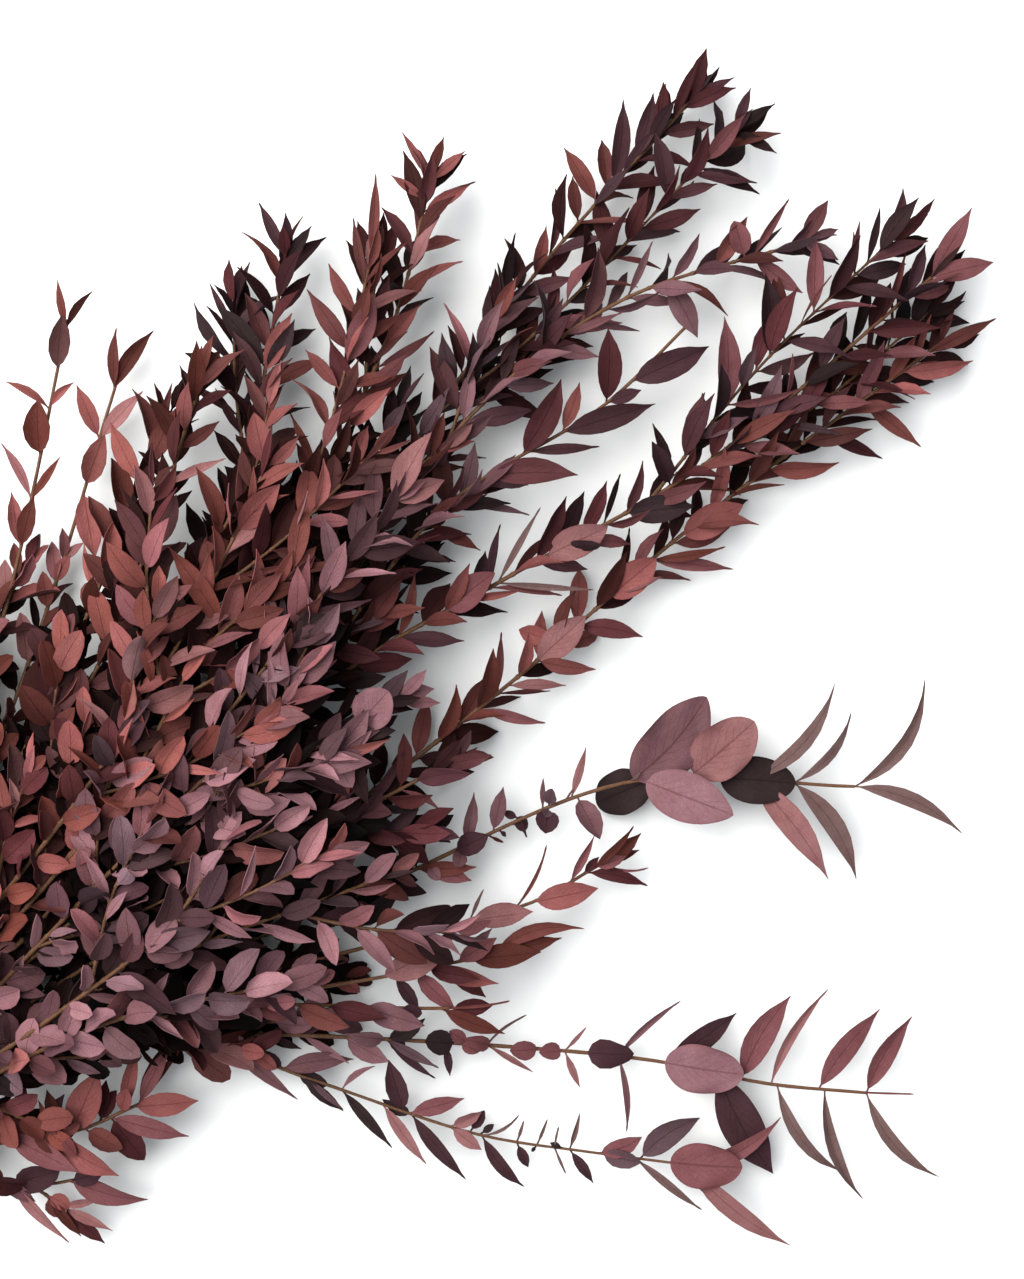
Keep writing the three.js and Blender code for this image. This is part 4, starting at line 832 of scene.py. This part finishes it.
class BladeShape:
    """A flat blade, one unit thick: x from rim to rim, y counts the rows from the stalk to the tip."""

    def __init__(self, rows, columns):
        self.rows = rows
        mesh = bmesh.new()
        uv = mesh.loops.layers.uv.new("blade")
        mesh.verts.layers.float_color.new("tint")
        bmesh.ops.create_grid(mesh, x_segments=columns, y_segments=rows, size=1)
        bmesh.ops.solidify(mesh, geom=mesh.faces[:], thickness=1)
        heights = [vert.co.z for vert in mesh.verts]
        bmesh.ops.translate(mesh, verts=mesh.verts, vec=(0, 1, -max(heights)))
        bmesh.ops.scale(mesh, verts=mesh.verts, vec=(1, rows / 2, 1))
        bmesh.ops.recalc_face_normals(mesh, faces=mesh.faces)
        for face in mesh.faces:
            face.smooth = True
            for loop in face.loops:
                place = loop.vert.co
                share = max(place.y - 1, 0) / (rows - 1)
                loop[uv].uv = ((place.x + 1) / 2, share)
        for edge in mesh.edges:
            edge.smooth = edge.calc_face_angle() < 1
        self.mesh = bpy.data.meshes.new("blade_%d_rows" % rows)
        mesh.to_mesh(self.mesh)
        mesh.free()
        blade = [(1 - math.cos(math.pi * row / (rows - 1))) / 2 for row in range(rows)]
        self.shares = [between((row / (rows - 1), share), CROWDED_ENDS) for row, share in enumerate(blade)]


SMALL_BLADE = BladeShape(7, 4)
LARGE_BLADE = BladeShape(11, 4)
BROAD_BLADE = BladeShape(22, 8)

# Colours of dried leaves, as the share of light that they give back.
TINTS = {
    "coral": (0.13, 0.04, 0.0375),
    "dusty_pink": (0.145, 0.062, 0.062),
    "rose": (0.1, 0.035, 0.038),
    "brick": (0.08, 0.0235, 0.02),
    "russet": (0.048, 0.0125, 0.0095),
    "burgundy": (0.036, 0.0092, 0.0105),
    "mauve": (0.082, 0.037, 0.042),
    "pale_mauve": (0.13, 0.062, 0.07),
    "grey_mauve": (0.058, 0.032, 0.038),
    "grey_brown": (0.086, 0.05, 0.047),
    "plum": (0.03, 0.0125, 0.0155),
    "near_black": (0.016, 0.009, 0.0095),
}
BASE_BARK = (0.06, 0.027, 0.013)
TIP_BARK = (0.085, 0.037, 0.018)

# What share of a branch's leaves has each colour.
LEAF_COLOURS = {
    "brick": {"coral": 0.18, "brick": 0.29, "russet": 0.2, "dusty_pink": 0.1, "burgundy": 0.12, "rose": 0.11},
    "mauve": {"mauve": 0.3, "pale_mauve": 0.2, "grey_mauve": 0.13, "plum": 0.13, "rose": 0.1,
              "brick": 0.08, "near_black": 0.06},
    "plum": {"burgundy": 0.34, "plum": 0.26, "near_black": 0.1, "grey_mauve": 0.06, "brick": 0.15,
             "rose": 0.09},
}


def pick(colours, draw):
    for colour, share in colours.items():
        draw -= share
        if draw < 0:
            break
    return Vector(TINTS[colour])


def leaf_tint(colour, keys):
    """One leaf's own colour: a mixture of two of its branch's colours."""
    colours = LEAF_COLOURS[colour]
    first = pick(colours, chance(*keys, 20))
    second = pick(colours, chance(*keys, 21))
    mixed = first.lerp(second, SECOND_COLOUR * chance(*keys, 22))
    return mixed * between(TONE_RANGE, chance(*keys, 23) ** TONE_LEAN)


def painted_shade_shares(leaves):
    """For each leaf, to what share others lie over it: how strongly painted shade darkens it."""
    middles = [leaf.middle(0.5) for leaf in leaves]
    tree = kdtree.KDTree(len(middles))
    for i, middle in enumerate(middles):
        tree.insert((middle.x, middle.y, 0), i)
    tree.balance()
    shares = []
    for middle in middles:
        close = tree.find_range((middle.x, middle.y, 0), PAINTED_SHADE_REACH)
        above = sum(middles[i].z > middle.z + PAINTED_SHADE_HEIGHT for spot, i, apart in close)
        shares.append(min(above / FULL_PAINTED_SHADE, 1))
    return shares


def add_leaf(piece, leaf, tint, stem_radius):
    """Copies a flat blade into the piece and bends it into the leaf."""
    broad = leaf.wide > BROAD_FROM
    shape = BROAD_BLADE if broad else LARGE_BLADE if leaf.long > LARGE_FROM else SMALL_BLADE
    start = len(piece.verts)
    piece.from_mesh(shape.mesh)
    piece.verts.ensure_lookup_table()
    tints = piece.verts.layers.float_color["tint"]
    placed = leaf.keys[1] >= PLACED_KEY
    rounder = 0 if placed else ease((ROUNDER_TO - leaf.root.length) / ROUNDER_SPAN)
    wide = leaf.wide * (1 + WIDER * rounder)
    aspect = wide / leaf.long
    outline = aspect * (1 + FULLER * rounder)
    vary = lambda key, ends: between(ends, chance(*leaf.keys, key))
    stalk = min((stem_radius + STALK_LENGTH) / leaf.long, MOST_STALK)
    limp = BROAD_LIMPNESS if broad else 1
    fold = vary(30, FOLD) * limp
    cup = vary(31, CUP) * limp
    twist = math.radians(vary(32, TWIST)) * limp
    roll = math.radians(vary(33, ROLL)) * limp
    curl = vary(34, CURL) * leaf.long * limp
    sharp = POINTED * min(max((POINTED_BELOW - outline) / POINTED_SPAN, 0), 1)
    wave = vary(35, WAVE_HEIGHT) * wide
    waves = vary(36, WAVE_COUNT)
    rows = []
    for row in range(shape.rows + 1):
        share = 0 if row == 0 else between((stalk, 1), shape.shares[row - 1])
        blade = 0 if row == 0 else shape.shares[row - 1]
        turned = Matrix.Rotation(roll + twist * (share - 0.3), 3, leaf.along)
        across, face = turned @ leaf.across, turned @ leaf.face
        half = half_width(blade, outline) * wide
        half *= 1 - sharp * ease((blade - POINT_FROM) / (1 - POINT_FROM))
        half = max(half, TIP_HALF_WIDTH if row == shape.rows else STALK_HALF_WIDTH)
        centre = leaf.middle(share) + curl * max(share - CURL_FROM, 0) ** 2 * face
        rows.append((centre, across, face, half, blade))
    verts = piece.verts[start:]
    for vert in verts:
        column, row, side = vert.co
        centre, across, face, half, blade = rows[round(row)]
        lift = half * (fold * abs(column) + cup * column * column)
        lift += wave * column * abs(column) * math.sin(math.pi * (waves * blade + 2 * column)) * bulge(blade)
        vert.co = centre + column * half * across + (lift + side * BLADE_THICKNESS) * face
        vert[tints] = (*tint, 1 if side > -0.5 else 0)
    heights = [vert.co.z for vert in verts]
    raised, lowered = max(LOWEST - min(heights), 0), max(max(heights) - HIGHEST, 0)
    if raised or lowered:
        for vert in verts:
            share = max((vert.co - leaf.root).dot(leaf.along) / leaf.long, 0)
            vert.co.z += raised * min(2 * share, 1) - lowered * min(1.5 * share, 1)
            vert.co.z = max(vert.co.z, LOWEST)


def straight_tube(sides, rings):
    """A closed tube along Z, from -0.5 to 0.5, with its rings evenly spaced."""
    tube = bmesh.new()
    bmesh.ops.create_cone(tube, cap_ends=True, segments=sides, radius1=1, radius2=1, depth=1)
    along = [edge for edge in tube.edges if abs(edge.verts[0].co.z - edge.verts[1].co.z) > 0.5]
    bmesh.ops.subdivide_edges(tube, edges=along, cuts=rings - 2)
    return tube


def join(whole, part):
    """Moves a finished part into the whole piece."""
    bmesh.ops.recalc_face_normals(part, faces=part.faces)
    mesh = bpy.data.meshes.new("part")
    part.to_mesh(mesh)
    part.free()
    whole.from_mesh(mesh)
    bpy.data.meshes.remove(mesh)


def ring_shares(shoot):
    """Where a stem has its rings: three close ones at each pair of leaves, and others between."""
    shares = {0.0: 0, 1.0: 0}
    for pair in shoot.pairs:
        share = shoot.pair_share(pair)
        for step, swelling in ((-SWELLING_REACH, 0), (0, PAIR_SWELLING), (SWELLING_REACH, 0)):
            shares[min(max(share + step / shoot.length, 0), 1)] = swelling
    placed = sorted(shares)
    for low, high in zip(placed, placed[1:]):
        parts = math.ceil((high - low) * shoot.length / RING_SPACING)
        for part in range(1, parts):
            shares[low + (high - low) * part / parts] = 0
    return sorted(shares.items())


def add_stem(piece, shoot, sides):
    """A round stem along the shoot's course, thicker where leaves leave it."""
    rings = ring_shares(shoot)
    tube = straight_tube(sides, len(rings))
    tints = tube.verts.layers.float_color.new("tint")
    tube.loops.layers.uv.new("blade")
    for face in tube.faces:
        face.smooth = len(face.verts) == 4
        face.material_index = 1 if face.smooth else 2
    for vert in tube.verts:
        share, swelling = rings[round((vert.co.z + 0.5) * (len(rings) - 1))]
        right, up = stem_axes(shoot.course.tangent(share))
        uneven = 1 + swelling + STEM_WOBBLE * (chance(shoot.key, round(99 * share)) - 0.5)
        radius = between(shoot.radii, share ** STEM_TAPER) * uneven
        vert.co = shoot.course.point(share) + radius * (vert.co.x * right + vert.co.y * up)
        vert[tints] = (*Vector(BASE_BARK).lerp(Vector(TIP_BARK), share), 1)
    join(piece, tube)


def leaves_of(shoot, solid):
    """All leaves of a shoot; those that the solid branch has too are where it has them."""
    found = []
    for index in range(len(shoot.leaves)):
        ways = [placed_leaf(shoot, index, lift) for lift in LIFTS]
        found.append(solid.chosen(ways, lambda leaf: leaf.tip, LEAF_TIP_REACH))
    for pair in shoot.pairs:
        for side in (0, 1):
            ways = [grown_leaf(shoot, pair, side, turn) for turn in TURNS]
            found.append(solid.chosen(ways, lambda leaf: leaf.tip, LEAF_TIP_REACH))
    return found


def finished(name, mesh, materials):
    """A piece from a bmesh in millimetres of the growth frame."""
    bmesh.ops.translate(mesh, verts=mesh.verts, vec=OFFSET)
    bmesh.ops.scale(mesh, verts=mesh.verts, vec=(MM, MM, MM))
    data = bpy.data.meshes.new(name)
    mesh.to_mesh(data)
    mesh.free()
    piece = bpy.data.objects.new(name, data)
    for material in materials:
        data.materials.append(material)
    bpy.context.scene.collection.objects.link(piece)
    return piece


class Shade:
    """A socket of a material, with which sums can be written."""

    def __init__(self, finish, socket):
        self.finish = finish
        self.socket = socket

    def sum(self, operation, *values):
        return self.finish.node("ShaderNodeMath", {"operation": operation}, dict(enumerate(values)))

    def __add__(self, other):
        return self.sum("ADD", self, other)

    __radd__ = __add__

    def __sub__(self, other):
        return self.sum("SUBTRACT", self, other)

    def __rsub__(self, other):
        return self.sum("SUBTRACT", other, self)

    def __mul__(self, other):
        return self.sum("MULTIPLY", self, other)

    __rmul__ = __mul__

    def __truediv__(self, other):
        return self.sum("DIVIDE", self, other)

    def __abs__(self):
        return self.sum("ABSOLUTE", self)

    def fraction(self):
        return self.sum("FRACT", self)

    def held(self):
        """Kept between 0 and 1."""
        return self.finish.node("ShaderNodeClamp", {}, {0: self})


class Finish:
    """A material in the making."""

    def __init__(self, name):
        self.material = bpy.data.materials.new(name)
        self.material.use_nodes = True
        self.tree = self.material.node_tree
        self.tree.nodes.clear()

    def node(self, kind, settings, inputs, output=0):
        """Makes a node from its type, settings, and values or links for its sockets, and gives one output."""
        node = self.tree.nodes.new(kind)
        for key, value in settings.items():
            setattr(node, key, value)
        for key, value in inputs.items():
            if isinstance(value, Shade):
                self.tree.links.new(value.socket, node.inputs[key])
            else:
                node.inputs[key].default_value = value
        return Shade(self, node.outputs[output])

    def blend(self, amount, first, second, way="MIX"):
        """Two colours mixed by an amount from 0 to 1."""
        settings = {"data_type": "RGBA", "blend_type": way, "clamp_factor": True}
        colours = {6: first, 7: second}
        held = {key: value if isinstance(value, Shade) else (*value, 1) for key, value in colours.items()}
        return self.node("ShaderNodeMix", settings, {0: amount, **held}, 2)

    def noise(self, place, scale, detail):
        inputs = {"Vector": place, "Scale": scale, "Detail": detail}
        return self.node("ShaderNodeTexNoise", {}, inputs)

    def done(self, colour, roughness, height, depth, **constants):
        """The finished surface; constants are the shader's own fixed values."""
        normal = self.node("ShaderNodeBump", {}, {"Strength": 0.7, "Distance": depth, "Height": height})
        inputs = {"Base Color": colour, "Roughness": roughness, "Normal": normal}
        inputs.update({key.replace("_", " "): value for key, value in constants.items()})
        shader = self.node("ShaderNodeBsdfPrincipled", {}, inputs)
        output = self.tree.nodes.new("ShaderNodeOutputMaterial")
        self.tree.links.new(shader.socket, output.inputs["Surface"])
        return self.material


def leaf_material():
    """Matt, dry blade: a darker rib, faint side veins, pale speckle and a slightly darker rim."""
    leaf = Finish("eucalyptus_leaf")
    place = leaf.node("ShaderNodeTexCoord", {}, {}, "Object")
    on_blade = leaf.node("ShaderNodeUVMap", {"uv_map": "blade"}, {})
    u = leaf.node("ShaderNodeSeparateXYZ", {}, {0: on_blade}, "X")
    v = leaf.node("ShaderNodeSeparateXYZ", {}, {0: on_blade}, "Y")
    tint = leaf.node("ShaderNodeAttribute", {"attribute_name": "tint"}, {}, "Color")
    upper = leaf.node("ShaderNodeAttribute", {"attribute_name": "tint"}, {}, "Alpha")
    across = abs(2 * u - 1)
    clouds = leaf.noise(place, 140, 3)
    patches = leaf.noise(place, 45, 1)
    speckle = leaf.noise(place, 1500, 2)
    rib = (1 - across / (0.09 - 0.05 * v)).held()
    ribbed = (10 * v - 3.4 * across + 1.2 * clouds).fraction()
    vein = (1 - abs(ribbed - 0.5) / 0.11).held() * (1 - rib) * (1.1 - across).held()
    rim = ((across - 0.84) / 0.16).held()
    shaded = leaf.blend((2.2 * (clouds - 0.32)).held() * 0.5, tint, (0.62, 0.5, 0.52), "MULTIPLY")
    dusted = leaf.blend((1.8 * (patches - 0.35)).held() * 0.5, shaded, (1.35, 1.5, 1.55), "MULTIPLY")
    speckled = leaf.blend((3 * (speckle - 0.5)).held() * 0.5, dusted, (1.5, 1.75, 1.75), "MULTIPLY")
    cell_inputs = {"Vector": place, "Scale": 560.0}
    cells = leaf.node("ShaderNodeTexVoronoi", {"feature": "DISTANCE_TO_EDGE"}, cell_inputs)
    net = (1 - cells / 0.07).held()
    netted = leaf.blend(net * 0.3, speckled, (1.5, 1.75, 1.75), "MULTIPLY")
    veined = leaf.blend(vein * 0.4, netted, (0.5, 0.4, 0.4), "MULTIPLY")
    ribs = leaf.blend(rib * 0.62, veined, (0.42, 0.3, 0.26), "MULTIPLY")
    rimmed = leaf.blend(rim * 0.3, ribs, (0.6, 0.35, 0.33), "MULTIPLY")
    under = leaf.blend(1.0, rimmed, (0.85, 1.02, 1.08), "MULTIPLY")
    colour = leaf.blend(upper, under, rimmed)
    roughness = 0.68 + 0.16 * (clouds - 0.5) - 0.06 * vein
    height = 0.25 * speckle + 0.5 * clouds - 0.5 * vein - 0.9 * rib - 0.2 * net
    return leaf.done(colour, roughness, height, 0.0003, Specular_IOR_Level=0.05)


def bark_material():
    """Golden brown bark, streaked and a little uneven."""
    bark = Finish("eucalyptus_bark")
    place = bark.node("ShaderNodeTexCoord", {}, {}, "Object")
    tint = bark.node("ShaderNodeAttribute", {"attribute_name": "tint"}, {}, "Color")
    streaks = bark.noise(place, 420, 4)
    grain = bark.noise(place, 1900, 2)
    dark = bark.blend((2.4 * (streaks - 0.35)).held() * 0.7, tint, (0.5, 0.42, 0.36), "MULTIPLY")
    colour = bark.blend((2.5 * (grain - 0.48)).held() * 0.35, dark, (0.3, 0.19, 0.11))
    height = streaks + 0.5 * grain
    return bark.done(colour, 0.52 + 0.25 * (grain - 0.5), height, 0.0003, Specular_IOR_Level=0.12)


def wood_material():
    """The pale wood of a cut stem end."""
    wood = Finish("cut_wood")
    place = wood.node("ShaderNodeTexCoord", {}, {}, "Object")
    grain = wood.noise(place, 1300, 3)
    colour = wood.blend((2.4 * (grain - 0.35)).held(), (0.3, 0.21, 0.115), (0.17, 0.105, 0.055))
    return wood.done(colour, 0.8 + 0.1 * (grain - 0.5), grain, 0.0002, Specular_IOR_Level=0.3)


def twine_material():
    """Plain natural twine with fine fibres along its strands."""
    twine = Finish("natural_twine")
    place = twine.node("ShaderNodeTexCoord", {}, {}, "Object")
    fibres = twine.noise(place, 2600, 3)
    patches = twine.noise(place, 260, 2)
    worn = twine.blend((2 * (patches - 0.35)).held(), (0.29, 0.2, 0.11), (0.2, 0.13, 0.068))
    colour = twine.blend((2.4 * (fibres - 0.42)).held() * 0.6, worn, (0.4, 0.31, 0.2))
    return twine.done(colour, 0.82 + 0.12 * (fibres - 0.5), fibres, 0.0003, Specular_IOR_Level=0.25,
                      Sheen_Weight=0.2, Sheen_Roughness=0.5)


def paper_material():
    """The plain pale surface that the bunch lies on."""
    paper = Finish("pale_surface")
    place = paper.node("ShaderNodeTexCoord", {}, {}, "Object")
    grain = paper.noise(place, 30, 3)
    colour = paper.blend(grain, (0.61, 0.617, 0.62), (0.63, 0.635, 0.638))
    return paper.done(colour, 0.92 + 0.04 * (grain - 0.5), grain, 0.00002, Specular_IOR_Level=0.2)


STRAND_SIDES = 6
STRAND_STEP = 0.7
STRAND_RADIUS = 0.56
STRAND_OFFSET = 0.5
STRAND_TWIST = 5.2
TURN_PITCH = 2.05
WRAP_TURNS = 7
TIE_INSET = 1.06
CORNER_STEP = 15


def wrap_outline():
    """The middle line of one turn of twine, seen along the stems: a rounded rectangle, from its underside."""
    low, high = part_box("tie")
    half = (high.y - low.y) / 2 / MM - TIE_INSET
    top = high.z / MM - TIE_INSET
    corner = TIE_CORNER + SEAT_GAP + TIE_THICKNESS - TIE_INSET
    points = [(0, TIE_INSET)]
    side, below, above = half - corner, TIE_INSET + corner, top - corner
    corners = ((side, below, -90), (side, above, 0), (-side, above, 90), (-side, below, 180))
    for middle_y, middle_z, first in corners:
        for step in range(0, 91, CORNER_STEP):
            turn = math.radians(first + step)
            points.append((middle_y + corner * math.cos(turn), middle_z + corner * math.sin(turn)))
    return points


def twine_route():
    """Points of the twine's middle line, turn beside turn."""
    outline = wrap_outline()
    around = [math.dist(a, b) for a, b in zip(outline, outline[1:] + outline[:1])]
    total = sum(around)
    first = TIE_MIDDLE_X - TURN_PITCH * WRAP_TURNS / 2
    route = []
    for turn in range(WRAP_TURNS):
        gone = 0
        for (y, z), step in zip(outline, around):
            route.append((first + TURN_PITCH * (turn + gone / total), y, z))
            gone += step
    return route


def strand(wrap, route, phase):
    """One of the two strands, wound round the twine's middle line."""
    fine = []
    for a, b in zip(route, route[1:]):
        a, b = Vector(a), Vector(b)
        parts = max(1, round((b - a).length / STRAND_STEP))
        fine += [a.lerp(b, part / parts) for part in range(parts)]
    tube = straight_tube(STRAND_SIDES, len(fine))
    gone = [0.0]
    for a, b in zip(fine, fine[1:]):
        gone.append(gone[-1] + (b - a).length)
    for vert in tube.verts:
        place = round((vert.co.z + 0.5) * (len(fine) - 1))
        tangent = (fine[min(place + 1, len(fine) - 1)] - fine[max(place - 1, 0)]).normalized()
        outward = Vector((1, 0, 0)).cross(tangent).normalized()
        aside = tangent.cross(outward)
        turn = phase + 2 * math.pi * gone[place] / STRAND_TWIST
        middle = fine[place] + STRAND_OFFSET * (math.cos(turn) * outward + math.sin(turn) * aside)
        vert.co = middle + STRAND_RADIUS * (vert.co.x * outward + vert.co.y * aside)
    for face in tube.faces:
        face.smooth = True
    join(wrap, tube)


LEAF, BARK, WOOD = leaf_material(), bark_material(), wood_material()

branches = []
all_leaves = []
for row, rules in enumerate(ROWS):
    for place, rule in enumerate(rules):
        solid = SolidPoints(rule["name"])
        shoots = branch_shoots(rule, len(branches), row, place, len(rules), solid)
        grown = [(shoot, leaf) for shoot in shoots for leaf in leaves_of(shoot, solid)]
        branches.append((rule, shoots, grown))
        all_leaves += [leaf for shoot, leaf in grown]

painted_shade = iter(painted_shade_shares(all_leaves))
for rule, shoots, grown in branches:
    piece = bmesh.new()
    piece.verts.layers.float_color.new("tint")
    piece.loops.layers.uv.new("blade")
    for shoot in shoots:
        add_stem(piece, shoot, STEM_SIDES if shoot is shoots[0] else SHOOT_SIDES)
    for shoot, leaf in grown:
        near = ease((PALER_TO - leaf.root.length) / PALER_SPAN)
        paler = between((1, PALER), near)
        # Painted shade: leaves that others lie over are darkened towards the shade tone, less far out at the
        # tips.
        depth = ease(next(painted_shade)) * between((TIP_PAINTED_SHADE, 1), near)
        tone = Vector((paler, paler, paler)).lerp(Vector(PAINTED_SHADE_TONE), depth)
        grown_tint = leaf_tint(rule.get("tone", rule["colour"]), leaf.keys) * tone
        grown_tint *= min(PALEST / grown_tint.x, 1)
        tint = shoot.own_tint(leaf.keys[1] - PLACED_KEY) or grown_tint
        add_leaf(piece, leaf, tint, shoot.radii[1])
    fine = finished(rule["name"] + "_fine", piece, (LEAF, BARK, WOOD))
    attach(fine, "root")
    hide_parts(rule["name"])
    "leaf_" + rule["colour"]

wrap = bmesh.new()
for phase in (0, math.pi):
    strand(wrap, twine_route(), phase)
tie = finished("tie_twine", wrap, (twine_material(),))
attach(tie, "root")
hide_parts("tie")

# The surface, the light and the camera.
SURFACE_SIZE = 4.0
floor_mesh = bmesh.new()
bmesh.ops.create_grid(floor_mesh, x_segments=1, y_segments=1, size=SURFACE_SIZE / 2)
floor_data = bpy.data.meshes.new("pale_surface")
floor_mesh.to_mesh(floor_data)
floor_mesh.free()
floor_data.materials.append(paper_material())
floor = bpy.data.objects.new("pale_surface", floor_data)
bpy.context.scene.collection.objects.link(floor)

# The photograph's frame: its middle in the growth frame, how its picture is turned, and its height.
VIEW_MIDDLE = (334.6, -54.9, 18)
VIEW_HEIGHT = 576
LENS = 75
SENSOR = 36
view_right = Vector((1, -1, 0)).normalized()
view_up = Vector((1, 1, 0)).normalized()
target = (Vector(VIEW_MIDDLE) + OFFSET) * MM
lens = bpy.data.cameras.new("camera")
lens.lens = LENS
lens.sensor_width = SENSOR
lens.sensor_fit = "AUTO"
lens.clip_end = 50
camera = bpy.data.objects.new("camera", lens)
turn = Matrix((view_right, view_up, UP)).transposed().to_4x4()
camera.matrix_world = Matrix.Translation(target + UP * VIEW_HEIGHT * MM * LENS / SENSOR) @ turn
bpy.context.scene.collection.objects.link(camera)
bpy.context.scene.camera = camera

# A large soft lamp, placed from the middle of the view by the picture's own directions and aimed at it.
LAMP_ASIDE = -1.5
LAMP_ABOVE = 0.75
LAMP_HEIGHT = 2.4
LAMP_SIZE = 3.6
LAMP_POWER = 272
LAMP_COLOUR = (1.0, 0.985, 0.96)
light = bpy.data.lights.new("window_light", "AREA")
light.shape = "DISK"
light.size = LAMP_SIZE
light.energy = LAMP_POWER
light.color = LAMP_COLOUR
lamp = bpy.data.objects.new("window_light", light)
spot = target + LAMP_ASIDE * view_right + LAMP_ABOVE * view_up + LAMP_HEIGHT * UP
aim = (target - spot).to_track_quat("-Z", "Y").to_matrix().to_4x4()
lamp.matrix_world = Matrix.Translation(spot) @ aim
bpy.context.scene.collection.objects.link(lamp)
world = bpy.data.worlds.new("studio")
world.use_nodes = True
sky = world.node_tree.nodes["Background"].inputs
sky["Color"].default_value = (0.93, 0.96, 1.0, 1)
sky["Strength"].default_value = 0.78
bpy.context.scene.world = world
bpy.context.scene.view_settings.view_transform = "Standard"
